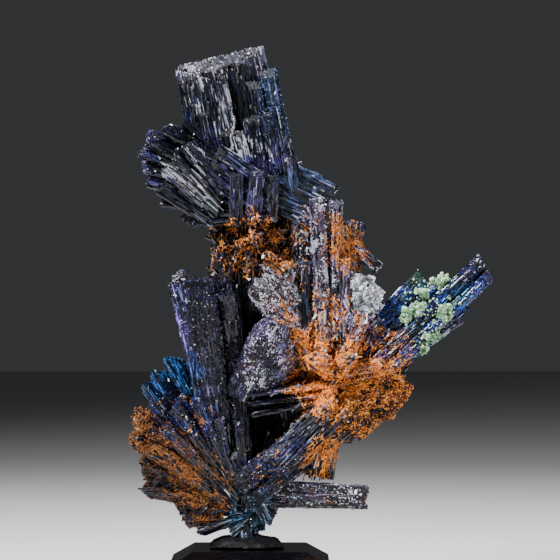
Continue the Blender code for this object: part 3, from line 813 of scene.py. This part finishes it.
def frosted_material():
    made, tree, shader = new_material("pale_frost")
    own = product_of(tree, attribute_of(tree, "piece_tone"), 0.7)
    tone = ramp_of(tree, math_of(tree, "ADD", own, grain_of(tree, 0.5, 6.0)), 0.45, 1.05)
    sockets = {
        "Base Color": colour_mix(tree, tone, FROST_SHADE, FROST_LIGHT),
        "Roughness": 0.4,
        "IOR": 1.6,
        "Subsurface Weight": 0.25,
        "Subsurface Scale": 0.8 * MM,
    }
    set_sockets(tree, shader, sockets)
    return made


def putty_material():
    made, tree, shader = new_material("black_putty")
    lumps = bump_of(tree, grain_of(tree, 0.9, 6.0, 0.7), 0.8, 0.3)
    sockets = {"Base Color": (0.003, 0.003, 0.004, 1), "Roughness": 0.55, "IOR": 1.3, "Normal": lumps}
    set_sockets(tree, shader, sockets)
    return made


def plain_material(name, colour, roughness, ior):
    made, tree, shader = new_material(name)
    set_sockets(tree, shader, {"Base Color": colour, "Roughness": roughness, "IOR": ior})
    return made


PALE_FROST = frosted_material()
BLACK_PUTTY = putty_material()
BLACK_ACRYLIC = plain_material("black_acrylic", (0.002, 0.002, 0.003, 1), roughness=0.08, ior=1.49)
PALE_FLOOR = plain_material("pale_floor", (0.60, 0.60, 0.61, 1), roughness=0.8, ior=1.5)
print(f"{PALE_FROST.name} has {len(PALE_FROST.node_tree.nodes)} nodes")

# %% [markdown]
# ## Step 7: small forms to repeat
#
# Splinters, plates and druse are all small flat-sided crystals, and grains and balls are small lumps.
# They are repeated tens of thousands of times, so each has only a few faces. Crystals are prisms with
# three or four sides, and lumps start from an icosphere. Each form is about one unit long and stands
# along Z, so that Geometry Nodes can scale it and turn it.


# %% Small forms
def prism(sides, tip_share, slant, flat=False):
    """A slim prism along Z, narrower and slanted at its tip, with a ridge or a flat to +Y."""
    form = bmesh.new()
    sizes = {"segments": sides, "radius1": 0.5, "radius2": 0.5 * tip_share, "depth": 1.0}
    bmesh.ops.create_cone(form, cap_ends=True, **sizes)
    for vert in form.verts:
        if vert.co.z > 0:
            vert.co.z += slant * vert.co.x - abs(slant) * 0.25
    if flat:
        turn = Matrix.Rotation(math.pi / sides, 3, "Z")
        bmesh.ops.rotate(form, verts=form.verts, matrix=turn)
    return form


def rough_ball(roughness, seed, smooth=False):
    form = bmesh.new()
    bmesh.ops.create_icosphere(form, subdivisions=1, radius=0.5)
    for vert in form.verts:
        vert.co *= 1.0 + roughness * noise.noise(vert.co * 3.0 + Vector((seed, 0, 0)))
    for face in form.faces:
        face.smooth = smooth
    return form


def hidden_forms(kind, **forms):
    """A collection of forms that isn't rendered."""
    made = bpy.data.collections.new(kind + "_forms")
    bpy.context.scene.collection.children.link(made)
    made.hide_render = True
    for label, form in forms.items():
        name = f"{kind}_{label}"
        pattern = bpy.data.objects.new(name, mesh_from(form, name))
        pattern.hide_render = True
        made.objects.link(pattern)
    return made


SPLINTERS = hidden_forms(
    "splinter",
    wedge=prism(3, 0.7, 0.4),
    lath=prism(4, 0.9, -0.4, flat=True),
    ridge=prism(3, 0.9, -0.3),
)
PLATES = hidden_forms(
    "plate",
    square=prism(4, 0.95, 0.3, flat=True),
    wedge=prism(4, 0.7, -0.4, flat=True),
)
DRUSE = hidden_forms("druse", point=prism(3, 0.0, 0.3), chip=prism(3, 0.8, -0.6))
GRAINS = hidden_forms(
    "grain",
    round=rough_ball(0.5, 1.0),
    needle=prism(3, 0.0, 0.0),
    sliver=prism(3, 0.5, 0.4),
)
BALLS = hidden_forms(
    "ball",
    small=rough_ball(0.2, 2.0, smooth=True),
    lumpy=rough_ball(0.6, 5.0, smooth=True),
)

# %% [markdown]
# ## Step 8: the tree that grows them
#
# Crystals that grow on crystals follow the same few rules everywhere, so one Geometry Nodes tree does
# all the growing. A particle system would do it too, but its pieces can't be cut to length. The tree
# scatters points over a painted mesh, as densely as an attribute says. It turns each small form
# partly along the growth axis and partly out from the face, and gives it a random lean, size and
# tone. The tone is stored, so that the materials can colour each piece on its own.

# %% Inputs of the tree
UNITS = dict.fromkeys(("Shortest", "Longest", "Narrowest", "Widest", "Lift", "Low", "High"), MM)
UNITS |= {"Density": 1.0 / MM**2}
SHARES = ("Patchiness", "Along", "Lean", "Flatness", "Contained", "Veins")
GROWTH_INPUTS = {"Geometry": "Geometry", "Forms": "Collection", "Material": "Material", "Mask": "String"}
GROWTH_INPUTS |= dict.fromkeys((*UNITS, *SHARES), "Float") | {"Seed": "Int"}
print(f"{len(GROWTH_INPUTS)} inputs, {len(UNITS)} of them measured in millimetres")

# %% Where pieces grow
PATCH_SCALE = 0.45  # per millimetre


def named_attribute(tree, name, kind="FLOAT"):
    return add_node(tree, "GeometryNodeInputNamedAttribute", {"Name": name}, data_type=kind)[0]


def random_float(tree, low, high, seed, step):
    """A random number for each piece. Each use of the tree's seed takes its own step."""
    sockets = {2: low, 3: high, 8: math_of(tree, "ADD", seed, float(step))}
    return add_node(tree, "FunctionNodeRandomValue", sockets, data_type="FLOAT")[1]


def number_mix(tree, factor, first, second):
    return add_node(tree, "ShaderNodeMix", {0: factor, 2: first, 3: second})[0]


def share_of_growth(tree, given, place, axis):
    """How densely pieces grow at each place, from 0 to 1."""
    mask = named_attribute(tree, given["Mask"])
    veins = vein_mask(tree, mask, vein_noise(tree, place, axis))
    spread = number_mix(tree, given["Veins"], mask, veins)
    patches = ramp_of(tree, noise_of(tree, place, PATCH_SCALE / MM), 0.42, 0.58)
    even = math_of(tree, "SUBTRACT", 1.0, given["Patchiness"])
    patchy = math_of(tree, "ADD", even, product_of(tree, given["Patchiness"], patches))
    height = add_node(tree, "ShaderNodeSeparateXYZ", {0: place})["Z"]
    above = math_of(tree, "GREATER_THAN", height, given["Low"])
    below = math_of(tree, "LESS_THAN", height, given["High"])
    return product_of(tree, spread, patchy, product_of(tree, above, below))


print(f"patches about {1 / PATCH_SCALE:.1f} mm apart")

# %% Which way pieces stand
MOST_TWIST = 0.5  # radians
INTO_THE_FACE = -0.02  # below this cosine with the normal, an axis points into the face


def axis_out_of(tree, axis, normal):
    """The growth axis, or its opposite where that comes out of the face."""
    facing = vector_math(tree, "DOT_PRODUCT", {0: axis, 1: normal}, 1)
    inward = math_of(tree, "LESS_THAN", facing, INTO_THE_FACE)
    return scaled(tree, axis, ramp_of(tree, inward, 0.0, 1.0, 1.0, -1.0))


def aligned(tree, sockets, axis, pivot):
    """A rotation whose own axis points along a vector."""
    kind = "FunctionNodeAlignRotationToVector"
    return add_node(tree, kind, sockets, axis=axis, pivot_axis=pivot)[0]


def turn_of(tree, given, axis_out, normal):
    """Stands a piece partly along the growth and partly out from the face, with a random lean."""
    sockets = {0: given["Along"], 4: normal, 5: axis_out}
    way = add_node(tree, "ShaderNodeMix", sockets, data_type="VECTOR")[1]
    upright = aligned(tree, {"Vector": way}, "Z", "AUTO")
    faced = aligned(tree, {"Rotation": upright, "Vector": normal}, "Y", "Z")
    lean_back = product_of(tree, given["Lean"], -1.0)
    angles = {
        0: random_float(tree, lean_back, given["Lean"], given["Seed"], 1),
        1: random_float(tree, lean_back, given["Lean"], given["Seed"], 2),
        2: random_float(tree, -MOST_TWIST, MOST_TWIST, given["Seed"], 3),
    }
    lean = add_node(tree, "ShaderNodeCombineXYZ", angles)[0]
    lean_turn = add_node(tree, "FunctionNodeEulerToRotation", {0: lean})[0]
    sockets = {"Rotation": faced, "Rotate By": lean_turn}
    return add_node(tree, "FunctionNodeRotateRotation", sockets, rotation_space="LOCAL")[0]


print(f"a piece twists by up to {math.degrees(MOST_TWIST):.0f} degrees")

# %% How long pieces are, and where they lie
RAY_DEPTH = 0.12 * MM  # how far under the surface a ray starts
RAY_LENGTH = 30 * MM
PLAY = 0.3 * MM  # how much longer than its room a piece may be, and slide


def room_along(tree, surface, place, normal, way):
    """How far the solid goes on from just under the surface, the given way."""
    inside = vector_math(tree, "ADD", {0: place, 1: scaled(tree, normal, -RAY_DEPTH)})
    sockets = {"Source Position": inside, "Ray Direction": way, "Ray Length": RAY_LENGTH}
    ray = add_node(tree, "GeometryNodeRaycast", {"Target Geometry": surface} | sockets)
    return product_of(tree, ray["Is Hit"], ray["Hit Distance"])


def length_and_slide(tree, given, place, normal, axis_out):
    """A piece's length, and how far it slides along the crystal to stay on it."""
    draw = random_float(tree, 0.0, 1.0, given["Seed"], 4)
    squared = product_of(tree, draw, draw)
    wished = ramp_of(tree, squared, 0.0, 1.0, given["Shortest"], given["Longest"])
    ahead = room_along(tree, given["Geometry"], place, normal, axis_out)
    behind = room_along(tree, given["Geometry"], place, normal, scaled(tree, axis_out, -1.0))
    room = math_of(tree, "ADD", math_of(tree, "ADD", ahead, behind), PLAY)
    length = number_mix(tree, given["Contained"], wished, math_of(tree, "MINIMUM", wished, room))
    half = product_of(tree, length, 0.5)
    least = math_of(tree, "MAXIMUM", math_of(tree, "SUBTRACT", half, behind), 0.0)
    held = math_of(tree, "MINIMUM", least, math_of(tree, "SUBTRACT", ahead, half))
    ragged = math_of(tree, "ADD", held, random_float(tree, -0.1 * MM, PLAY, given["Seed"], 7))
    return length, scaled(tree, axis_out, product_of(tree, ragged, given["Contained"]))


print(f"rays look {RAY_LENGTH / MM:.0f} mm along each crystal")


# %% The whole tree
def growing_tree():
    tree = bpy.data.node_groups.new("grow_pieces", "GeometryNodeTree")
    for label, kind in GROWTH_INPUTS.items():
        tree.interface.new_socket(label, in_out="INPUT", socket_type="NodeSocket" + kind)
    tree.interface.new_socket("Geometry", in_out="OUTPUT", socket_type="NodeSocketGeometry")
    given = tree.nodes.new("NodeGroupInput").outputs
    result = tree.nodes.new("NodeGroupOutput")

    place = add_node(tree, "GeometryNodeInputPosition")[0]
    axis = named_attribute(tree, "growth_axis", "FLOAT_VECTOR")
    density = product_of(tree, given["Density"], share_of_growth(tree, given, place, axis))
    sockets = {"Mesh": given["Geometry"], "Density": density, "Seed": given["Seed"]}
    scatter = add_node(tree, "GeometryNodeDistributePointsOnFaces", sockets)
    normal = scatter["Normal"]

    axis_out = axis_out_of(tree, axis, normal)
    length, slide = length_and_slide(tree, given, place, normal, axis_out)
    width = random_float(tree, given["Narrowest"], given["Widest"], given["Seed"], 5)
    sides = {0: width, 1: product_of(tree, width, given["Flatness"]), 2: length}
    size = add_node(tree, "ShaderNodeCombineXYZ", sides)[0]
    offset = vector_math(tree, "ADD", {0: scaled(tree, normal, given["Lift"]), 1: slide})
    sockets = {"Geometry": scatter["Points"], "Offset": offset}
    placed = add_node(tree, "GeometryNodeSetPosition", sockets)[0]

    tone = random_float(tree, 0.0, 1.0, given["Seed"], 6)
    sockets = {"Geometry": placed, "Name": "piece_tone", "Value": tone}
    toned = add_node(tree, "GeometryNodeStoreNamedAttribute", sockets, data_type="FLOAT")[0]
    sockets = {"Collection": given["Forms"], "Separate Children": True, "Reset Children": True}
    forms = add_node(tree, "GeometryNodeCollectionInfo", sockets)[0]
    sockets = {"Points": toned, "Instance": forms, "Pick Instance": True, "Scale": size}
    sockets["Rotation"] = turn_of(tree, given, axis_out, normal)
    grown = add_node(tree, "GeometryNodeInstanceOnPoints", sockets)[0]
    real = add_node(tree, "GeometryNodeRealizeInstances", {"Geometry": grown})[0]
    sockets = {"Geometry": real, "Material": given["Material"]}
    painted = add_node(tree, "GeometryNodeSetMaterial", sockets)[0]
    set_sockets(tree, result, {"Geometry": painted})
    return tree


GROWING_TREE = growing_tree()
print(f"{len(GROWING_TREE.nodes)} nodes in the tree")


# %% Pieces of the specimen
def add_piece(name, mesh, material=None):
    mesh.name = name
    made = bpy.data.objects.new(name, mesh)
    bpy.context.scene.collection.objects.link(made)
    if material:
        mesh.materials.clear()
        mesh.materials.append(material)
    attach(made, "root")
    return made


def grow(name, mesh, look, slot_name, **more):
    """Runs the tree on a mesh and keeps what grew as a plain mesh object."""
    host = bpy.data.objects.new(name + "_host", mesh)
    bpy.context.scene.collection.objects.link(host)
    modifier = host.modifiers.new("grow", "NODES")
    modifier.node_group = GROWING_TREE
    inputs = look | more
    inputs |= {key: inputs[key] * unit for key, unit in UNITS.items()}
    for item in GROWING_TREE.interface.items_tree:
        if item.in_out == "INPUT" and item.name in inputs:
            modifier[item.identifier] = inputs[item.name]
    graph = bpy.context.evaluated_depsgraph_get()
    grown = bpy.data.meshes.new_from_object(host.evaluated_get(graph))
    bpy.data.objects.remove(host)
    add_piece(name, grown)
    print(f"{name}: {sum(len(face.vertices) - 2 for face in grown.polygons)} triangles")


body = add_piece("azurite_body", cluster_mesh, AZURITE_BODY)
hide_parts("azurite_cluster")
print(f"{body.name} stands in for the cluster")

# %% [markdown]
# ## Step 9: splinters, plates and tangle
#
# An azurite blade isn't smooth: it is a bundle of parallel splinters, some of them wider plates that
# flash silver, which is painted here as a pale grey glint. In the neck and the spray the splinters
# cross each other. A bump map could draw the lines, but the edges and the ends of the blades would
# stay straight. Real splinters break them up.
# They are cut to the room on their crystal, so that they don't stick out into the air. They are
# grown in bands of height, to keep every piece to a sensible size.

# %% Splinters
BANDS = {"foot": (0, 34), "middle": (34, 58), "neck": (58, 80), "crown": (80, 130)}  # millimetres
WHOLE = {"Low": 0.0, "High": 200.0}  # more than the whole height
SPLINTER_LOOK = {
    "Forms": SPLINTERS,
    "Material": AZURITE_SPLINTER,
    "Mask": "splinters_share",
    "Density": 2.9,  # per square millimetre
    "Patchiness": 0.3,
    "Along": 0.97,
    "Lean": math.radians(4),
    "Shortest": 0.8,
    "Longest": 6.0,
    "Narrowest": 0.2,
    "Widest": 0.62,
    "Flatness": 0.7,
    "Lift": 0.0,
    "Contained": 1.0,
    "Veins": 0.0,
}


def grow_in_bands(name, look, slot_name):
    for seed, (band, (low, high)) in enumerate(BANDS.items()):
        grow(f"{name}_{band}", cluster_mesh, look, slot_name, Low=low, High=high, Seed=seed)


grow_in_bands("azurite_splinters", SPLINTER_LOOK, "azurite")

# %% Plates and tangle
CLUSTER_SEED = 8
PLATE_LOOK = SPLINTER_LOOK | WHOLE | {
    "Forms": PLATES,
    "Material": AZURITE_PLATE,
    "Mask": "plates_share",
    "Density": 0.6,
    "Lean": math.radians(5),
    "Shortest": 2.0,
    "Longest": 7.0,
    "Narrowest": 0.6,
    "Widest": 1.5,
    "Flatness": 0.4,
}
TANGLE_LOOK = SPLINTER_LOOK | WHOLE | {
    "Mask": "tangle_share",
    "Density": 1.0,
    "Patchiness": 0.4,
    "Along": 0.8,
    "Lean": math.radians(50),
    "Shortest": 1.0,
    "Longest": 3.4,
    "Narrowest": 0.35,
    "Widest": 1.1,
    "Contained": 0.0,
}
grow("azurite_plates", cluster_mesh, PLATE_LOOK, "azurite", Seed=CLUSTER_SEED)
grow("azurite_tangle", cluster_mesh, TANGLE_LOOK, "azurite", Seed=CLUSTER_SEED)

# %% [markdown]
# ## Step 10: druse
#
# Over many faces, and on the broken ends of the crystals, stands a crust of tiny crystals that
# sparkle one by one. A rough bump would dull the surface, where druse glitters. So it is grown too:
# chips and points that lean every way. Where the painting asks for most druse, finer granules fill
# the gaps, and few splinters are left.

# %% Druse, granules and the ends of crystals
DRUSE_LOOK = SPLINTER_LOOK | {
    "Forms": DRUSE,
    "Material": AZURITE_DRUSE,
    "Mask": "druse_share",
    "Density": 6.5,
    "Along": 0.25,
    "Lean": math.radians(75),
    "Shortest": 0.35,
    "Longest": 0.9,
    "Narrowest": 0.25,
    "Widest": 0.6,
    "Flatness": 0.8,
    "Contained": 0.0,
}
GRANULE_LOOK = DRUSE_LOOK | WHOLE | {
    "Material": AZURITE_GRANULE,
    "Mask": "granules_share",
    "Density": 13.0,
    "Longest": 0.7,
    "Narrowest": 0.15,
    "Widest": 0.38,
}
END_LOOK = DRUSE_LOOK | WHOLE | {"Mask": "end_share", "Density": 5.0, "Longest": 0.7}
grow_in_bands("azurite_druse", DRUSE_LOOK, "azurite")
grow("azurite_granules", cluster_mesh, GRANULE_LOOK, "azurite", Seed=CLUSTER_SEED)
grow("azurite_end_druse", cluster_mesh, END_LOOK, "azurite", Seed=CLUSTER_SEED)

# %% [markdown]
# ## Step 11: grains of limonite on the azurite
#
# Along its veins the rust isn't only a stain. It stands up as soft grains and short fibres that hide
# the blue below. Colour alone would leave the crystals' sharp edges in sight, so grains are grown
# where the stain of Step 4 has its veins, a little above the surface.

# %% Grains along the veins
STAIN_LOOK = DRUSE_LOOK | {
    "Forms": GRAINS,
    "Material": LIMONITE_GRAIN,
    "Mask": "rust_share",
    "Density": 10.5,
    "Patchiness": 0.0,
    "Along": 0.5,
    "Longest": 1.5,
    "Narrowest": 0.16,
    "Widest": 0.46,
    "Lift": 0.12,
    "Veins": 1.0,
}
grow_in_bands("limonite_stain", STAIN_LOOK, "limonite")

# %% [markdown]
# ## Step 12: lumps of limonite
#
# At the lower left and on the right the limonite is thick enough to hide the crystals. Sculpting such
# a crust by hand would take long. Noise pushes the smooth CAD lump in and out instead, grains grow on
# its heights, and azurite shows in its hollows.


# %% A rough copy of a lump
def rough_copy(node_name, step, depth, scale):
    """The node's mesh, split finely and pushed in and out by noise, with its relief stored."""
    form = merged_copy(node_name)
    axis_layer = form.faces.layers.float_vector.new("growth_axis")
    slice_finely(form, step)
    form.normal_update()
    pushes = [depth * (noise.fractal(vert.co / MM * scale, 0.8, 2.0, 4) - 0.25) for vert in form.verts]
    for vert, push in zip(form.verts, pushes, strict=True):
        vert.co += vert.normal * push
    form.normal_update()
    for face in form.faces:
        face[axis_layer] = face.normal
    mesh = mesh_from(form, node_name + "_rough")
    relief = np.array(pushes) / depth
    relief = fade(relief, start=relief.min(), width=relief.max() - relief.min())
    set_attribute(mesh, "relief", relief)
    set_attribute(mesh, "heights", fade(relief, start=0.25, width=0.3))
    set_attribute(mesh, "hollows", fade(0.45 - relief, width=0.3))
    set_attribute(mesh, "everywhere", np.ones(len(mesh.vertices)))
    mark_rust_tone(mesh)
    return mesh


LUMP_FORM = {"step": 0.6 * MM, "depth": 1.3 * MM, "scale": 0.55}  # the scale is per millimetre
LUMP_NAMES = ("limonite_matrix_left", "limonite_crust_right")
LUMPS = {name: rough_copy(name, **LUMP_FORM) for name in LUMP_NAMES}
print(f"{[len(mesh.polygons) for mesh in LUMPS.values()]} patches on the lumps")

# %% Grains on the lumps, and azurite in their hollows
LUMP_LOOK = STAIN_LOOK | WHOLE | {
    "Mask": "heights",
    "Veins": 0.0,
    "Density": 10.0,
    "Patchiness": 0.5,
    "Shortest": 0.3,
    "Longest": 1.0,
    "Widest": 0.48,
}
HOLLOW_LOOK = DRUSE_LOOK | WHOLE | {
    "Mask": "hollows",
    "Density": 5.0,
    "Patchiness": 1.0,
    "Longest": 1.3,
}
HOLLOW_TINTS = {"limonite_matrix_left": (NIGHT, 0.02), "limonite_crust_right": (ASH, 0.12)}
LUMP_SEED = 10
HOLLOW_SEED = 50

for number, (node_name, mesh) in enumerate(LUMPS.items()):
    tint_and_painted_light, painted_glint = HOLLOW_TINTS[node_name]
    set_attribute(mesh, "tint_and_painted_light", np.tile((*tint_and_painted_light, 1.0), (len(mesh.vertices), 1)), kind="FLOAT_COLOR")
    set_attribute(mesh, "painted_glint", np.full(len(mesh.vertices), painted_glint))
    grow(node_name + "_azurite", mesh, HOLLOW_LOOK, "azurite", Seed=HOLLOW_SEED + number)
    lump = add_piece(node_name + "_body", mesh, LIMONITE_EARTH)
    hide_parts(node_name)
    grow(node_name + "_grains", mesh, LUMP_LOOK, "limonite", Seed=LUMP_SEED + number)

# %% [markdown]
# ## Step 13: malachite
#
# Malachite grows as clusters of tiny round knobs. Six tufts stand on the right arm, with a thin crust
# round them. One lumpy mesh would show too few knobs, so balls are grown on a rough copy of each
# tuft, and a few more on the azurite nearby.

# %% Malachite tufts and crust
MALACHITE_LOOK = LUMP_LOOK | {
    "Forms": BALLS,
    "Material": MALACHITE,
    "Mask": "everywhere",
    "Density": 7.0,
    "Patchiness": 0.0,
    "Along": 0.0,
    "Narrowest": 0.3,
    "Widest": 0.85,
    "Flatness": 1.0,
    "Lift": 0.0,
}
CRUST_LOOK = MALACHITE_LOOK | {"Mask": "malachite_share", "Density": 3.5, "Patchiness": 1.0}
TUFT_FORM = {"step": 0.45 * MM, "depth": 1.2 * MM, "scale": 0.9}
MALACHITE_SEED = 20

grow("malachite_crust", cluster_mesh, CRUST_LOOK, "malachite", Seed=MALACHITE_SEED)
for number in range(1, TUFTS + 1):
    node_name = f"malachite_tuft_{number}"
    mesh = rough_copy(node_name, **TUFT_FORM)
    tuft = add_piece(node_name + "_body", mesh, MALACHITE)
    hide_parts(node_name)
    grow(node_name + "_balls", mesh, MALACHITE_LOOK, "malachite", Seed=MALACHITE_SEED + number)

# %% [markdown]
# ## Step 14: the pale crystal
#
# Beside the shoulder sits one group of pale, frosted crystals of another mineral. Its blocky pieces
# lie across each other. A bump would leave it a smooth lump, so the tree that grew the splinters
# grows these as well, with wider forms and a greater lean.

# %% Pale crystal
pale_form = merged_copy("pale_crystal")
mark_growth(pale_form)
slice_finely(pale_form, 1.0 * MM)
pale_mesh = mesh_from(pale_form, "pale_crystal_body")
set_attribute(pale_mesh, "everywhere", np.ones(len(pale_mesh.vertices)))
pale = add_piece("pale_crystal_body", pale_mesh, PALE_FROST)
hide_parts("pale_crystal")

PALE_SEED = 30
PALE_LOOK = SPLINTER_LOOK | WHOLE | {
    "Material": PALE_FROST,
    "Mask": "everywhere",
    "Density": 2.2,
    "Along": 0.7,
    "Lean": math.radians(32),
    "Longest": 2.2,
    "Narrowest": 0.4,
    "Widest": 1.4,
}
grow("pale_crystal_druse", pale_mesh, PALE_LOOK, "pale_mineral", Seed=PALE_SEED)

# %% [markdown]
# ## Step 15: putty and display base
#
# The specimen is held by a mound of black putty, pressed by hand, on a block of black acrylic with a
# wide bevel. The putty could be sculpted, but the noise of the lumps does as well, made shallow and
# broad. The block's form is complete in CAD. A real block's edges are a little round and catch the
# light, so a small bevel is added.

# %% Putty and base
PUTTY_FORM = {"step": 0.6 * MM, "depth": 0.35 * MM, "scale": 0.45}
EDGE_ROUNDING = {"offset": 0.22 * MM, "segments": 3, "profile": 0.5, "affect": "EDGES"}

putty = add_piece("putty_mound", rough_copy("mounting_putty", **PUTTY_FORM), BLACK_PUTTY)
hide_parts("mounting_putty")

base_form = merged_copy("display_base")
bmesh.ops.bevel(base_form, geom=base_form.edges[:], **EDGE_ROUNDING)
base = add_piece("display_block", mesh_from(base_form, "display_block"), BLACK_ACRYLIC)
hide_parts("display_base")
print(f"{len(putty.data.polygons)} faces on the putty, {len(base.data.polygons)} on the base")

# %% [markdown]
# ## Step 16: floor, light and camera
#
# Dark, glassy crystals show only what they reflect. Small lamps would give hard sparks, so the lamps
# are broad: a strong one at the left, a weak one at the right and one above and behind, which draws
# the upper edges. The sky is faint, to keep the gaps dark. The camera looks straight at the front,
# from far enough away that the crystals in front aren't enlarged.

# %% Floor and camera
FLOOR_SIZE = 3.0  # metres, as are the next two
CAMERA_PLACE = Vector((0.006, -0.6, 0.064))
VIEW_WIDTH = 0.112  # what the view spans at the specimen
SENSOR_WIDTH = 36.0  # millimetres of film


def add_to_scene(name, data):
    made = bpy.data.objects.new(name, data)
    bpy.context.scene.collection.objects.link(made)
    return made


floor_form = bmesh.new()
bmesh.ops.create_grid(floor_form, x_segments=1, y_segments=1, size=FLOOR_SIZE / 2)
floor = add_to_scene("floor", mesh_from(floor_form, "floor"))
floor.data.materials.append(PALE_FLOOR)

camera = add_to_scene("camera", bpy.data.cameras.new("camera"))
camera.data.sensor_width = SENSOR_WIDTH
camera.data.lens = SENSOR_WIDTH * -CAMERA_PLACE.y / VIEW_WIDTH
camera.location = CAMERA_PLACE
camera.rotation_euler = (math.pi / 2, 0, 0)
bpy.context.scene.camera = camera
print(f"lens of {camera.data.lens:.0f} mm")

# %% Lamps and sky
SPECIMEN_MIDDLE = Vector((0.005, 0, 0.06))  # where the lamps point
LAMP_SPREAD = math.radians(70)
SKY = {"Color": (0.62, 0.64, 0.67, 1.0), "Strength": 0.06}


def add_soft_light(name, place, power, size):
    lamp = add_to_scene(name, bpy.data.lights.new(name, "AREA"))
    lamp.data.energy = power
    lamp.data.size = size
    lamp.data.spread = LAMP_SPREAD
    lamp.location = place
    lamp.rotation_euler = (SPECIMEN_MIDDLE - Vector(place)).to_track_quat("-Z", "Y").to_euler()


add_soft_light("key_left", place=(-0.36, -0.36, 0.46), power=1.7, size=0.20)
add_soft_light("fill_right", place=(0.50, -0.26, 0.30), power=0.45, size=0.20)
add_soft_light("top", place=(0.02, 0.12, 0.60), power=1.0, size=0.25)

studio = bpy.data.worlds.new("studio")
studio.use_nodes = True
set_sockets(studio.node_tree, studio.node_tree.nodes["Background"], SKY)
bpy.context.scene.world = studio
print(f"three soft lamps, and a sky of strength {SKY['Strength']}")
